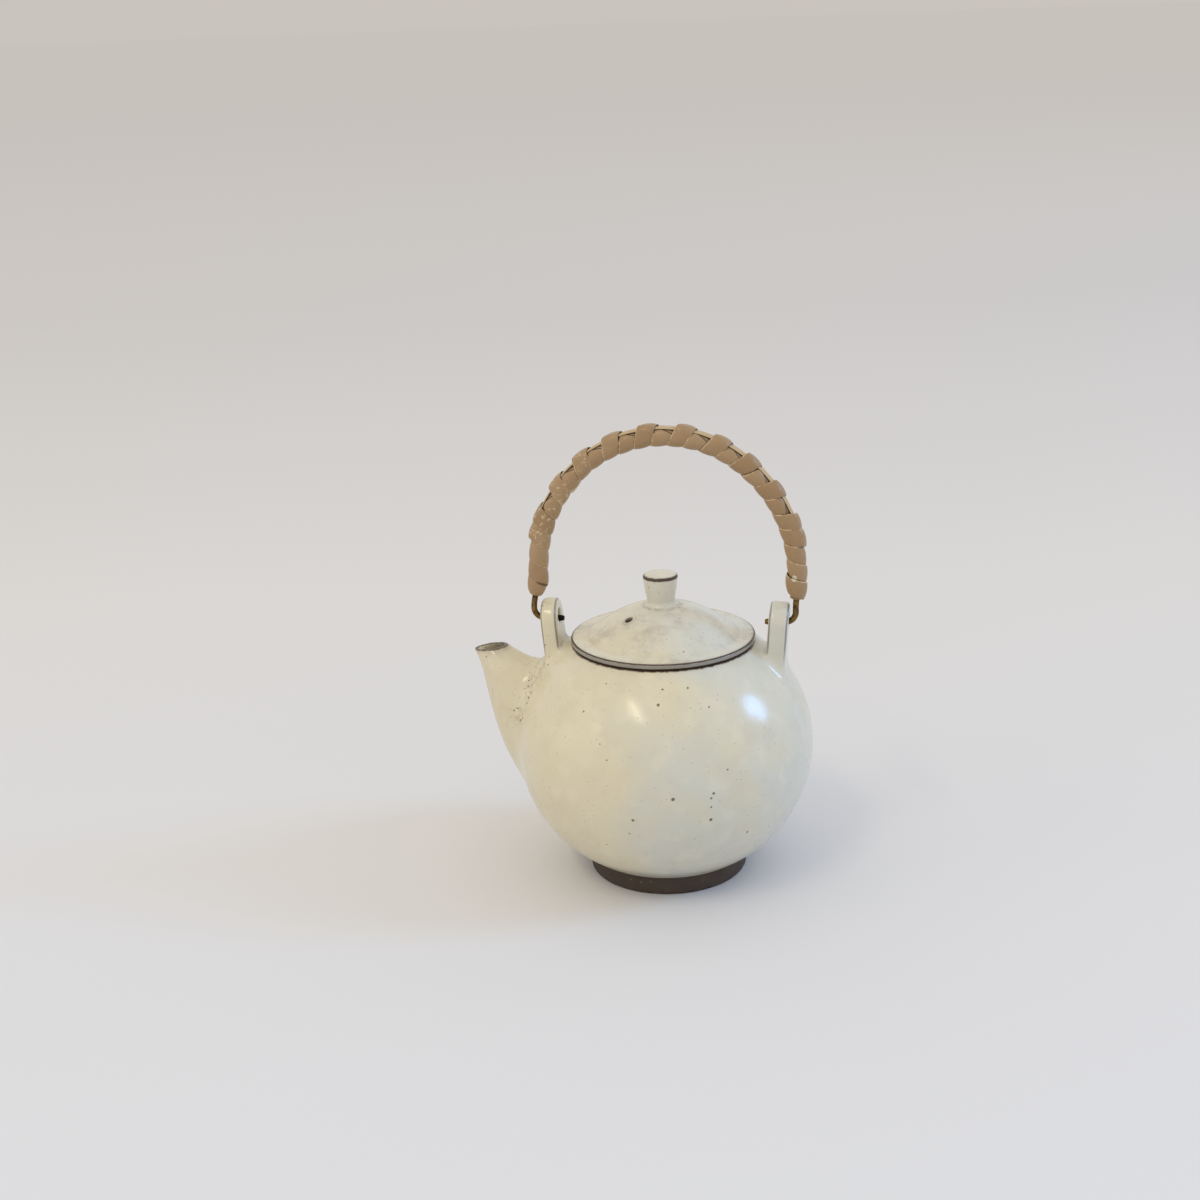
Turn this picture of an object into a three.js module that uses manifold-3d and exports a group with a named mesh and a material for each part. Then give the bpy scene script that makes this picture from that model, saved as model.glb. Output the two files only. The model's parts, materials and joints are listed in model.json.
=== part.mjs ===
// A small Japanese side-spout teapot in cream glaze, with a lift-off lid and a swinging bail:
// a brass wire through two pierced lugs, padded and wound with flat tape over and under a cane strip.
// Millimetres, +Z up. The spout points to -X. The foot stands on z = 0.
import * as THREE from "three";
import { mergeVertices } from "three/addons/utils/BufferGeometryUtils.js";
import Module from "manifold-3d";

// Body
const BODY_RADIUS = 65;
const BODY_HALF_HEIGHT = 59.35; // of the ellipse that the belly follows
const BODY_WALL = 4;
const BODY_FLOOR = 5;
const MOUTH_RADIUS = 31;
const MOUTH_DEPTH = 4; // straight bore of the mouth, below the rim
const BOWL_JOINT_DROP = 16; // joint of the pot's two thrown parts, below the widest point of the belly

// Foot ring
const FOOT_HEIGHT = 8.5;
const FOOT_TOP_RADIUS = 35.5; // where the glaze stops
const FOOT_BASE_RADIUS = 34.5;
const FOOT_WALL = 6.5;
const FOOT_RECESS = 4; // hollow under the pot, inside the ring
const FOOT_CHAMFER = 0.8;

// Lid
const LID_RADIUS = 40.1;
const LID_OVERHANG = 1.3; // past the pot's rim
const LID_EDGE = 2.5; // thickness of the flat edge
const LID_WALL = 3.5;
const DOME_RADIUS = 34.5;
const DOME_HEIGHT = 13.4; // from the edge's upper face to the knob's seat
const DOME_CROWN = 1.3; // bulge of its slope above a straight cone
const RING_DEPTH = 8;
const RING_WALL = 3;
const VENT_DIAMETER = 3;
const VENT_REACH = 18.2; // from the lid's centre
const VENT_BEARING = 226; // degrees from +X

// Knob
const KNOB_BASE_RADIUS = 6;
const KNOB_TOP_RADIUS = 7.5;
const KNOB_HEIGHT = 14.1;
const KNOB_SWELL = 0.45; // share of its height where it is halfway from its base to its top radius
const KNOB_ARRIS = 0.9;
const KNOB_CROWN = 0.6;

// Spout, set out from the widest point of the belly
const SPOUT_REACH = 19.5; // lip, beyond the belly
const LIP_BELOW_RIM = 5.8;
const SPOUT_BEAK = 2.6; // how far the lip flares out over the spout's underside
const MOUTH_TILT_RISE = 2.1; // back edge of the spout's mouth above its lip
const SPOUT_MOUTH_LENGTH = 14.7;
const SPOUT_MOUTH_WIDTH = 9.8;
const SPOUT_ROOT_WIDTH = 34;
const SPOUT_ROOT_LOW = -0.374; // foot of the spout, from the widest point, as a share of the half height
const SPOUT_ROOT_HIGH = 0.6133;
const SPOUT_ROOT_WALL = 3.5;
const SPOUT_LIP_WALL = 1.6;
const SPOUT_ROOT_RUN = 0.35; // share of its length that runs on inside the belly, before the belly cuts it
const SPOUT_TAPER = 0.8; // power by which its width narrows from root to mouth
const BEAK_SHARPNESS = 8; // power by which the beak flares towards the lip

// Handles of the spout's two curves, from the point named in each
const ROOT_LOW_OUT = 16.6;
const ROOT_LOW_UP = 15;
const LIP_IN = 2.7;
const LIP_DOWN = 16;
const MOUTH_BACK_IN = 8.8;
const MOUTH_BACK_DOWN = 7.6;

// Strainer behind the spout
const STRAINER_RISE = 8; // its centre above the belly's widest point
const STRAINER_RADIUS = 10.5;
const STRAINER_THICKNESS = 2.4;
const STRAINER_BORE = 2.6;
const STRAINER_PITCH = 3.9;

// Lugs
const LUG_LID_CLEARANCE = 5.7; // from the lid's edge to the lug's inner face, at the height of the hole
const LUG_THICKNESS = 7.2;
const LUG_WIDTH = 18.5;
const LUG_ABOVE_RIM = 18.4; // top of the lug above the pot's rim
const LUG_HOLE_RADIUS = 2.8;
const LUG_HOLE_DROP = 8.6; // hole's centre below the lug's top
const LUG_LEAN = 4; // degrees outward
const LUG_ROUND = 1;

// Bail
const WIRE_RADIUS = 1.3;
const WIRE_BEND = 4.5;
const WIRE_POKE = 0.9; // wire's end past the lug's inner face
const LEG_TO_LUG = 4; // wire's leg outside the lug's outer face
const BAIL_SHIFT = 0.5; // lugs and legs sit this far towards the rear
const BAIL_LEAN = 1.8; // arch's extra shift towards the rear
const BAIL_TUCK = 1; // arch is this much narrower a side than the legs
const BAIL_SPRING = 20.35; // foot of the arch above the hinge
const BAIL_RISE = 60.9;

// Winding
const WRAP_ABOVE_LUG = 1.4; // lowest edge of the tape above the lug's top
const CORE_WALL = 1.2;
const TAPE_WIDTH = 6.2;
const TAPE_THICKNESS = 0.65;
const TURN_GAP = 0.5; // between neighbouring turns, on the inside of the arch
const STRIP_WIDTH = 4.6;
const STRIP_THICKNESS = 0.7;
const COVERED_TURNS = 5; // at each end, before the first window
const END_TURNS = 3; // of them, outside the strip's ends
const FRONT_TAPE_TURNS = 7; // turns of the first tape, from the spout's end
const SEAM_HALF = 0.05; // of a turn, left free at each tape's end where one follows the other

// Clearances
const LUTED_GAP = 0.3; // between clay pieces joined on a curved face
const BOWL_JOINT_GAP = 0.1; // between the pot's two thrown parts, joined on a flat face
const SEAT_GAP = 0.2; // lid on the rim
const RING_CLEARANCE = 0.8; // lid's ring in the mouth
const WIRE_CLEARANCE = 0.3; // wire on the bottom of the lug's hole, and in the core
const WINDING_GAP = 0.3; // between core, tape and strip

// Facets
const ROUND_SEGMENTS = 48;
const BELLY_STEPS = 14; // of the outside that other pieces are cut by
const BOWL_STEPS = 6;
const BODY_STEPS = 9;
const SPOUT_SIDES = 24;
const SPOUT_RINGS = 9;
const WIRE_STEPS = 96;
const CORE_STEPS = 36;
const STRIP_STEPS = 44;
const LEAST_STEP = 0.06; // of the tape's turn, in radians

// Places that follow from the sizes
const ellipseReach = (height, radius, halfHeight) => radius * Math.sqrt(1 - (height / halfHeight) ** 2);
const ellipseRise = (reach, radius, halfHeight) => halfHeight * Math.sqrt(1 - (reach / radius) ** 2);
const BELLY_Z = FOOT_HEIGHT + ellipseRise(FOOT_TOP_RADIUS, BODY_RADIUS, BODY_HALF_HEIGHT);
const RIM_RADIUS = LID_RADIUS - LID_OVERHANG;
const RIM_Z = BELLY_Z + ellipseRise(RIM_RADIUS, BODY_RADIUS, BODY_HALF_HEIGHT);
const LID_Z = RIM_Z + SEAT_GAP;
const KNOB_Z = LID_Z + LID_EDGE + DOME_HEIGHT;
const BOWL_JOINT_Z = BELLY_Z - BOWL_JOINT_DROP;
const LIP_Z = RIM_Z - LIP_BELOW_RIM;
const LUG_TOP_Z = RIM_Z + LUG_ABOVE_RIM;
const LUG_HOLE_Z = LUG_TOP_Z - LUG_HOLE_DROP;
const HOLE_SLOPE = (LUG_THICKNESS / 2) * Math.sin(THREE.MathUtils.degToRad(LUG_LEAN));
const HINGE_Z = LUG_HOLE_Z - LUG_HOLE_RADIUS + HOLE_SLOPE + WIRE_CLEARANCE + WIRE_RADIUS;
const LUG_INNER_REACH = LID_RADIUS + LUG_LID_CLEARANCE;
const LUG_OUTER_REACH = LUG_INNER_REACH + LUG_THICKNESS;
const LEG_REACH = LUG_OUTER_REACH + LEG_TO_LUG;
const CORE_BORE = WIRE_RADIUS + WIRE_CLEARANCE;
const CORE_RADIUS = CORE_BORE + CORE_WALL;

const wasm = await Module();
wasm.setup();

// A closed geometry as a solid that can be cut and joined.
function solidOf(geometry) {
  const bare = geometry.clone();
  bare.deleteAttribute("normal");
  bare.deleteAttribute("uv");
  const merged = mergeVertices(bare, 1e-4);
  return new wasm.Manifold(
    new wasm.Mesh({
      numProp: 3,
      vertProperties: merged.attributes.position.array,
      triVerts: new Uint32Array(merged.index.array),
    }),
  );
}

function geometryOf(solid) {
  const cut = solid.getMesh();
  const geometry = new THREE.BufferGeometry();
  geometry.setAttribute("position", new THREE.BufferAttribute(cut.vertProperties, 3));
  geometry.setIndex(new THREE.BufferAttribute(cut.triVerts, 1));
  geometry.computeVertexNormals();
  return geometry;
}

// A turned piece: an outline of [radius, height] points, spun round the vertical axis.
function turned(outline, segments = ROUND_SEGMENTS) {
  const points = outline.map(([radius, height]) => new THREE.Vector2(radius, height));
  return new THREE.LatheGeometry(points, segments).rotateX(Math.PI / 2);
}

// Points along an ellipse round the vertical axis, between two heights measured from its centre.
function ellipseArc(radius, halfHeight, centreZ, from, to, steps) {
  const start = Math.asin(from / halfHeight);
  const end = Math.asin(to / halfHeight);
  return Array.from({ length: steps + 1 }, (_, i) => {
    const angle = start + ((end - start) * i) / steps;
    return [radius * Math.cos(angle), centreZ + halfHeight * Math.sin(angle)];
  });
}

// Joins rings of equally many points into one skin, either closed on itself or with flat ends.
function skinOf(rings, endsMeet) {
  const sides = rings[0].length;
  const position = rings.flat().flatMap((point) => point.toArray());
  const index = [];
  const spans = endsMeet ? rings.length : rings.length - 1;
  for (let i = 0; i < spans; i++) {
    const here = i * sides;
    const next = ((i + 1) % rings.length) * sides;
    for (let j = 0; j < sides; j++) {
      const k = (j + 1) % sides;
      index.push(here + j, here + k, next + k, here + j, next + k, next + j);
    }
  }
  if (!endsMeet) {
    const last = (rings.length - 1) * sides;
    for (let j = 1; j < sides - 1; j++) {
      index.push(0, j + 1, j, last, last + j, last + j + 1);
    }
  }
  const geometry = new THREE.BufferGeometry();
  geometry.setAttribute("position", new THREE.Float32BufferAttribute(position, 3));
  geometry.setIndex(index);
  geometry.computeVertexNormals();
  return geometry;
}

// The outside of the pot, grown by a gap: pieces luted to the body are cut by it.
function bellyCutter(gap) {
  const radius = BODY_RADIUS + gap;
  const halfHeight = BODY_HALF_HEIGHT + gap;
  const low = FOOT_HEIGHT - BELLY_Z;
  const high = RIM_Z + SEAT_GAP - BELLY_Z;
  const arc = ellipseArc(radius, halfHeight, BELLY_Z, low, high, BELLY_STEPS);
  return solidOf(turned([[0, FOOT_HEIGHT], ...arc, [0, RIM_Z + SEAT_GAP]]));
}

// A round bar along X through the spout's root, for the strainer and its opening.
function strainerBar(radius) {
  const bar = new THREE.CylinderGeometry(radius, radius, BODY_RADIUS, 24).rotateZ(Math.PI / 2);
  return solidOf(bar.translate(-BODY_RADIUS, 0, BELLY_Z + STRAINER_RISE));
}

// The line of the pot's wall between two heights, inset from its outside.
function wallLine(inset, from, to, steps) {
  const radius = BODY_RADIUS - inset;
  return ellipseArc(radius, BODY_HALF_HEIGHT - inset, BELLY_Z, from - BELLY_Z, to - BELLY_Z, steps);
}

// The pot below the joint: floor and lower wall.
function potBowl() {
  const floorZ = FOOT_RECESS + BODY_FLOOR;
  const bossRadius = FOOT_TOP_RADIUS - FOOT_WALL - LUTED_GAP;
  return turned([
    [0, FOOT_RECESS],
    [bossRadius, FOOT_RECESS],
    [bossRadius, FOOT_HEIGHT],
    ...wallLine(0, FOOT_HEIGHT, BOWL_JOINT_Z, BOWL_STEPS),
    ...wallLine(BODY_WALL, BOWL_JOINT_Z, floorZ, BOWL_STEPS),
    [0, floorZ],
  ]);
}

// The pot above the joint: belly, shoulder and mouth, open behind the spout for the strainer.
function potBody() {
  const mouthZ = RIM_Z - MOUTH_DEPTH;
  const from = BOWL_JOINT_Z + BOWL_JOINT_GAP;
  const outside = wallLine(0, from, RIM_Z, BODY_STEPS);
  const wall = solidOf(turned([
    ...outside,
    [MOUTH_RADIUS, RIM_Z],
    [MOUTH_RADIUS, mouthZ],
    ...wallLine(BODY_WALL, mouthZ - BODY_WALL / 2, from, BODY_STEPS),
    outside[0],
  ]));
  return geometryOf(wall.subtract(strainerBar(STRAINER_RADIUS + LUTED_GAP)));
}

function footRing() {
  const inner = FOOT_TOP_RADIUS - FOOT_WALL;
  return turned([
    [inner, 0],
    [FOOT_BASE_RADIUS - FOOT_CHAMFER, 0],
    [FOOT_BASE_RADIUS, FOOT_CHAMFER],
    [FOOT_TOP_RADIUS, FOOT_HEIGHT],
    [inner, FOOT_HEIGHT],
    [inner, 0],
  ]);
}

// Underside and top line of the spout, from the belly (0) to the mouth (1).
const spoutFoot = (share) => {
  const rise = share * BODY_HALF_HEIGHT;
  const reach = ellipseReach(rise, BODY_RADIUS, BODY_HALF_HEIGHT);
  return new THREE.Vector3(-reach, 0, BELLY_Z + rise);
};
const spoutLip = new THREE.Vector3(-BODY_RADIUS - SPOUT_REACH, 0, LIP_Z);
const spoutBack = spoutLip.clone().add(new THREE.Vector3(SPOUT_MOUTH_LENGTH, 0, MOUTH_TILT_RISE));
const underside = new THREE.CubicBezierCurve3(
  spoutFoot(SPOUT_ROOT_LOW),
  spoutFoot(SPOUT_ROOT_LOW).add(new THREE.Vector3(-ROOT_LOW_OUT, 0, ROOT_LOW_UP)),
  spoutLip.clone().add(new THREE.Vector3(SPOUT_BEAK + LIP_IN, 0, -LIP_DOWN)),
  spoutLip.clone().add(new THREE.Vector3(SPOUT_BEAK, 0, 0)),
);
const topLine = new THREE.QuadraticBezierCurve3(
  spoutFoot(SPOUT_ROOT_HIGH),
  spoutBack.clone().add(new THREE.Vector3(MOUTH_BACK_IN, 0, -MOUTH_BACK_DOWN)),
  spoutBack,
);

// One oval ring of the spout, inset by the wall. Below 0 and past 1 the ring runs on in a straight line.
function spoutRing(t, inset) {
  const along = THREE.MathUtils.clamp(t, 0, 1);
  const ends = [underside, topLine].map((line) =>
    line.getPoint(along).addScaledVector(line.getTangent(along), (t - along) * SPOUT_ROOT_WIDTH),
  );
  ends[0].x -= SPOUT_BEAK * along ** BEAK_SHARPNESS;
  const centre = ends[0].clone().add(ends[1]).multiplyScalar(0.5);
  const up = ends[1].clone().sub(centre);
  const halfLength = up.length() - inset;
  up.normalize();
  const taper = (1 - along) ** SPOUT_TAPER;
  const halfWidth = (SPOUT_MOUTH_WIDTH + (SPOUT_ROOT_WIDTH - SPOUT_MOUTH_WIDTH) * taper) / 2 - inset;
  return Array.from({ length: SPOUT_SIDES }, (_, i) => {
    const angle = (2 * Math.PI * i) / SPOUT_SIDES;
    const side = new THREE.Vector3(0, -halfWidth * Math.sin(angle), 0);
    return centre.clone().addScaledVector(up, -halfLength * Math.cos(angle)).add(side);
  });
}

function spout() {
  const steps = Array.from({ length: SPOUT_RINGS }, (_, i) => i / (SPOUT_RINGS - 1));
  const wall = (t) => THREE.MathUtils.lerp(SPOUT_ROOT_WALL, SPOUT_LIP_WALL, t);
  const outside = [spoutRing(-SPOUT_ROOT_RUN, 0), ...steps.map((t) => spoutRing(t, 0))];
  const inside = [...steps.map((t) => spoutRing(t, wall(t))).reverse(), spoutRing(-SPOUT_ROOT_RUN, wall(0))];
  const tube = solidOf(skinOf([...outside, ...inside], true));
  return geometryOf(tube.subtract(bellyCutter(LUTED_GAP)).subtract(lugSlab(-1, LUTED_GAP, [])));
}

// Plate that follows the belly's inner face, pierced in rows like a honeycomb.
function strainer() {
  const inner = BODY_RADIUS - BODY_WALL;
  const innerHalfHeight = BODY_HALF_HEIGHT - BODY_WALL;
  const span = STRAINER_RADIUS * 1.5;
  const face = (grow) => {
    const radius = inner + grow;
    const halfHeight = innerHalfHeight + grow;
    const arc = ellipseArc(radius, halfHeight, BELLY_Z, STRAINER_RISE - span, STRAINER_RISE + span, 8);
    const low = arc[0][1];
    const high = arc[arc.length - 1][1];
    return solidOf(turned([[0, low], ...arc, [0, high]]));
  };
  let plate = face(STRAINER_THICKNESS).subtract(face(0)).intersect(strainerBar(STRAINER_RADIUS));
  const rows = Math.floor(STRAINER_RADIUS / STRAINER_PITCH);
  const rowPitch = STRAINER_PITCH * Math.sin(Math.PI / 3);
  const reach = STRAINER_RADIUS - STRAINER_BORE;
  for (let row = -rows; row <= rows; row++) {
    for (let place = -rows; place <= rows; place++) {
      const y = (place + (row % 2) / 2) * STRAINER_PITCH;
      const z = row * rowPitch;
      if (Math.hypot(y, z) > reach) continue;
      const drill = new THREE.CylinderGeometry(STRAINER_BORE / 2, STRAINER_BORE / 2, BODY_RADIUS, 8);
      drill.rotateZ(Math.PI / 2).translate(-BODY_RADIUS, y, BELLY_Z + STRAINER_RISE + z);
      plate = plate.subtract(solidOf(drill));
    }
  }
  return geometryOf(plate);
}

// An arched slab on the shoulder, grown by a gap. side is -1 at the spout and 1 at the rear.
function lugSlab(side, gap, holes) {
  const half = LUG_WIDTH / 2 + gap;
  const arch = LUG_TOP_Z - LUG_WIDTH / 2 - LUG_HOLE_Z;
  const foot = ellipseRise(LUG_OUTER_REACH, BODY_RADIUS, BODY_HALF_HEIGHT) + BELLY_Z - LUG_HOLE_Z - half;
  const outline = new THREE.Shape();
  outline.moveTo(-half, foot);
  outline.lineTo(half, foot);
  outline.lineTo(half, arch);
  outline.absarc(0, arch, half, 0, Math.PI, false);
  outline.holes = holes;
  const slab = new THREE.ExtrudeGeometry(outline, {
    depth: LUG_THICKNESS - 2 * LUG_ROUND + 2 * gap,
    bevelThickness: LUG_ROUND,
    bevelSize: LUG_ROUND,
    bevelOffset: -LUG_ROUND,
    bevelSegments: 2,
    curveSegments: 10,
  });
  const alongX = new THREE.Matrix4().makeBasis(
    new THREE.Vector3(0, 1, 0), new THREE.Vector3(0, 0, 1), new THREE.Vector3(1, 0, 0),
  );
  slab.translate(0, 0, -LUG_THICKNESS / 2 + LUG_ROUND - gap).applyMatrix4(alongX);
  slab.rotateY(THREE.MathUtils.degToRad(side * LUG_LEAN));
  slab.translate(BAIL_SHIFT + side * (LUG_INNER_REACH + LUG_THICKNESS / 2), 0, LUG_HOLE_Z);
  return solidOf(slab);
}

function lug(side) {
  const hole = new THREE.Path();
  hole.absarc(0, 0, LUG_HOLE_RADIUS, 0, 2 * Math.PI, true);
  return geometryOf(lugSlab(side, 0, [hole]).subtract(bellyCutter(LUTED_GAP)));
}

// From the dome's edge up to its flat top, bulging a little above a straight cone.
function domeSlope(edgeRadius, topRadius, edgeZ, topZ, steps) {
  return Array.from({ length: steps + 1 }, (_, i) => {
    const share = i / steps;
    const radius = THREE.MathUtils.lerp(edgeRadius, topRadius, share);
    const bulge = DOME_CROWN * 4 * share * (1 - share);
    return [radius, THREE.MathUtils.lerp(edgeZ, topZ, share) + bulge];
  });
}

function lid() {
  const edgeZ = LID_Z + LID_EDGE;
  const innerEdge = MOUTH_RADIUS - RING_CLEARANCE - RING_WALL;
  const outside = domeSlope(DOME_RADIUS, KNOB_BASE_RADIUS, edgeZ, KNOB_Z, 7);
  const inside = domeSlope(innerEdge, KNOB_BASE_RADIUS, LID_Z, KNOB_Z - LID_WALL, 6);
  const dome = solidOf(turned([
    [0, KNOB_Z - LID_WALL],
    ...inside.reverse(),
    [LID_RADIUS, LID_Z],
    [LID_RADIUS, edgeZ],
    ...outside,
    [0, KNOB_Z],
  ]));
  const bearing = THREE.MathUtils.degToRad(VENT_BEARING);
  const vent = new THREE.CylinderGeometry(VENT_DIAMETER / 2, VENT_DIAMETER / 2, 2 * DOME_HEIGHT, 12);
  vent.rotateX(Math.PI / 2);
  vent.translate(VENT_REACH * Math.cos(bearing), VENT_REACH * Math.sin(bearing), edgeZ + DOME_HEIGHT / 2);
  return geometryOf(dome.subtract(solidOf(vent)));
}

function lidRing() {
  const outer = MOUTH_RADIUS - RING_CLEARANCE;
  const inner = outer - RING_WALL;
  return turned([
    [inner, LID_Z],
    [inner, LID_Z - RING_DEPTH],
    [outer - RING_WALL / 3, LID_Z - RING_DEPTH],
    [outer, LID_Z - RING_DEPTH + RING_WALL / 3],
    [outer, LID_Z],
    [inner, LID_Z],
  ]);
}

function lidKnob() {
  const topZ = KNOB_Z + KNOB_HEIGHT;
  return turned([
    [0, KNOB_Z],
    [KNOB_BASE_RADIUS, KNOB_Z],
    [THREE.MathUtils.lerp(KNOB_BASE_RADIUS, KNOB_TOP_RADIUS, 0.5), KNOB_Z + KNOB_HEIGHT * KNOB_SWELL],
    [KNOB_TOP_RADIUS, topZ - KNOB_CROWN - KNOB_ARRIS],
    [KNOB_TOP_RADIUS - KNOB_ARRIS, topZ - KNOB_CROWN],
    [KNOB_TOP_RADIUS / 2, topZ - KNOB_CROWN / 4],
    [0, topZ],
  ], 32);
}

// Middle line of the bail above a start height on its legs: up one leg, over the arch, down the other.
class BailLine extends THREE.Curve {
  constructor(startZ) {
    super();
    this.arcLengthDivisions = 400;
    this.startZ = startZ;
    this.springZ = HINGE_Z + BAIL_SPRING;
    this.leg = this.springZ - startZ;
    this.halfSpan = LEG_REACH - BAIL_TUCK;
    this.arch = (Math.PI * (this.halfSpan + BAIL_RISE)) / 2;
  }

  getPoint(t, target = new THREE.Vector3()) {
    const run = t * (2 * this.leg + this.arch);
    const fromEnd = Math.min(run, 2 * this.leg + this.arch - run);
    if (fromEnd < this.leg) {
      const z = this.startZ + fromEnd;
      const bendZ = HINGE_Z + WIRE_BEND;
      const lean = THREE.MathUtils.smoothstep(z, bendZ, this.springZ);
      const side = t < 0.5 ? -1 : 1;
      const x = BAIL_SHIFT + BAIL_LEAN * lean + side * (LEG_REACH - BAIL_TUCK * lean);
      return target.set(x, 0, z);
    }
    const angle = (Math.PI * (run - this.leg)) / this.arch;
    return target.set(
      BAIL_SHIFT + BAIL_LEAN - this.halfSpan * Math.cos(angle),
      0,
      this.springZ + BAIL_RISE * Math.sin(angle),
    );
  }
}

// The wire's whole line: in through one lug, round a bend, over the bail and in through the other lug.
class WireLine extends THREE.Curve {
  constructor() {
    super();
    this.arcLengthDivisions = 800;
    this.over = new BailLine(HINGE_Z + WIRE_BEND);
    this.overLength = this.over.getLength();
    this.pin = LEG_REACH - WIRE_BEND - (LUG_INNER_REACH - WIRE_POKE);
    this.bend = (WIRE_BEND * Math.PI) / 2;
    this.total = this.overLength + 2 * (this.pin + this.bend);
  }

  getPoint(t, target = new THREE.Vector3()) {
    const side = t < 0.5 ? -1 : 1;
    const run = Math.min(t, 1 - t) * this.total;
    if (run < this.pin) {
      return target.set(BAIL_SHIFT + side * (LUG_INNER_REACH - WIRE_POKE + run), 0, HINGE_Z);
    }
    if (run < this.pin + this.bend) {
      const turn = (run - this.pin) / WIRE_BEND;
      const x = LEG_REACH - WIRE_BEND * (1 - Math.sin(turn));
      return target.set(BAIL_SHIFT + side * x, 0, HINGE_Z + WIRE_BEND * (1 - Math.cos(turn)));
    }
    const along = (t * this.total - this.pin - this.bend) / this.overLength;
    return this.over.getPointAt(along, target);
  }
}

function circleShape(radius) {
  const shape = new THREE.Shape();
  shape.absarc(0, 0, radius, 0, 2 * Math.PI, false);
  return shape;
}

function bailWire() {
  return new THREE.ExtrudeGeometry(circleShape(WIRE_RADIUS), {
    steps: WIRE_STEPS,
    curveSegments: 4,
    bevelEnabled: false,
    extrudePath: new WireLine(),
  });
}

const handleLine = new BailLine(LUG_TOP_Z + WRAP_ABOVE_LUG);
const handleLength = handleLine.getLength();

function handleCore() {
  const section = circleShape(CORE_RADIUS);
  section.holes.push(circleShape(CORE_BORE));
  return new THREE.ExtrudeGeometry(section, {
    steps: CORE_STEPS,
    curveSegments: 5,
    bevelEnabled: false,
    extrudePath: handleLine,
  });
}

// Point, direction along the handle and direction away from the arch's middle, at a distance along it.
function handleFrame(distance) {
  const u = THREE.MathUtils.clamp(distance / handleLength, 0, 1);
  const point = handleLine.getPointAt(u);
  const along = handleLine.getTangentAt(u);
  return { point, along, out: new THREE.Vector3(-along.z, 0, along.x) };
}

// The winding. Angles run from the inside of the arch (-180 degrees) by the front to the outside (0).
const tapeMiddle = CORE_RADIUS + WINDING_GAP + TAPE_THICKNESS / 2;
const stripInner = tapeMiddle + TAPE_THICKNESS / 2 + WINDING_GAP;
const stripOuter = stripInner + STRIP_THICKNESS;
const tightestBend = (LEG_REACH - BAIL_TUCK) ** 2 / BAIL_RISE;
const insideShrink = 1 - (tapeMiddle + TAPE_THICKNESS / 2) / tightestBend;
const leastPitch = (TAPE_WIDTH + TURN_GAP) / insideShrink;
const windingRun = handleLength - TAPE_WIDTH;
const TURNS = Math.floor(windingRun / leastPitch + 0.5) - 0.5;
const PITCH = windingRun / TURNS;
const BANDS = TURNS + 0.5; // seen on the front

// Whether a turn passes over the strip: under, over, under ... between the covered ends.
function passesOver(turn) {
  if (turn < END_TURNS || turn >= BANDS - END_TURNS) return false;
  if (turn < COVERED_TURNS || turn >= BANDS - COVERED_TURNS) return true;
  return (turn - COVERED_TURNS) % 2 === 1;
}

// Over the strip the tape is drawn tight: flat across it, round its corner, then straight to the core.
const overLift = WINDING_GAP + TAPE_THICKNESS / 2;
const overTop = stripOuter + overLift;
const overSide = STRIP_WIDTH / 2 + overLift;
const overCorner = Math.atan2(overSide, overTop);
const overLeaves = overCorner + Math.acos(tapeMiddle / Math.hypot(overSide, overTop));

// Radius of the tape's middle at an angle from the outside.
function tapeRadius(turn, angle) {
  const off = Math.abs(angle);
  if (!passesOver(turn) || off > overLeaves) return tapeMiddle;
  return off < overCorner ? overTop / Math.cos(off) : tapeMiddle / Math.cos(overLeaves - off);
}

// Angles of one turn's steps, with a step on each corner of its way over the strip.
const halfTurn = [0, overCorner / 2, overCorner];
for (let i = 1; i <= 3; i++) halfTurn.push(overCorner + ((overLeaves - overCorner) * i) / 3);
for (let i = 1; i <= 4; i++) halfTurn.push(overLeaves + ((Math.PI - overLeaves) * i) / 4);
const turnSteps = [...halfTurn.slice(1).reverse().map((angle) => -angle), ...halfTurn.slice(0, -1)];

// Six points round the tape's section: crowned outside and inside, thin at both edges.
function tapeSection(turn, angle) {
  const distance = TAPE_WIDTH / 2 + PITCH * (turn + 0.5 + angle / (2 * Math.PI));
  const { point, along, out } = handleFrame(distance);
  const radial = out.multiplyScalar(Math.cos(angle)).add(new THREE.Vector3(0, Math.sin(angle), 0));
  const radius = tapeRadius(turn, angle);
  const half = TAPE_WIDTH / 2;
  const flat = half * 0.8;
  const deep = TAPE_THICKNESS / 2;
  const outline = [[half, 0], [flat, -deep], [-flat, -deep], [-half, 0], [-flat, deep], [flat, deep]];
  return outline.map(([across, lift]) =>
    point.clone().addScaledVector(along, across).addScaledVector(radial, radius + lift),
  );
}

// The section carried on in a straight line past an end of the tape.
function straightEnd(end, before) {
  const drift = end[0].clone().sub(before[0]).setLength(TAPE_THICKNESS);
  return end.map((point) => point.clone().add(drift));
}

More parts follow.
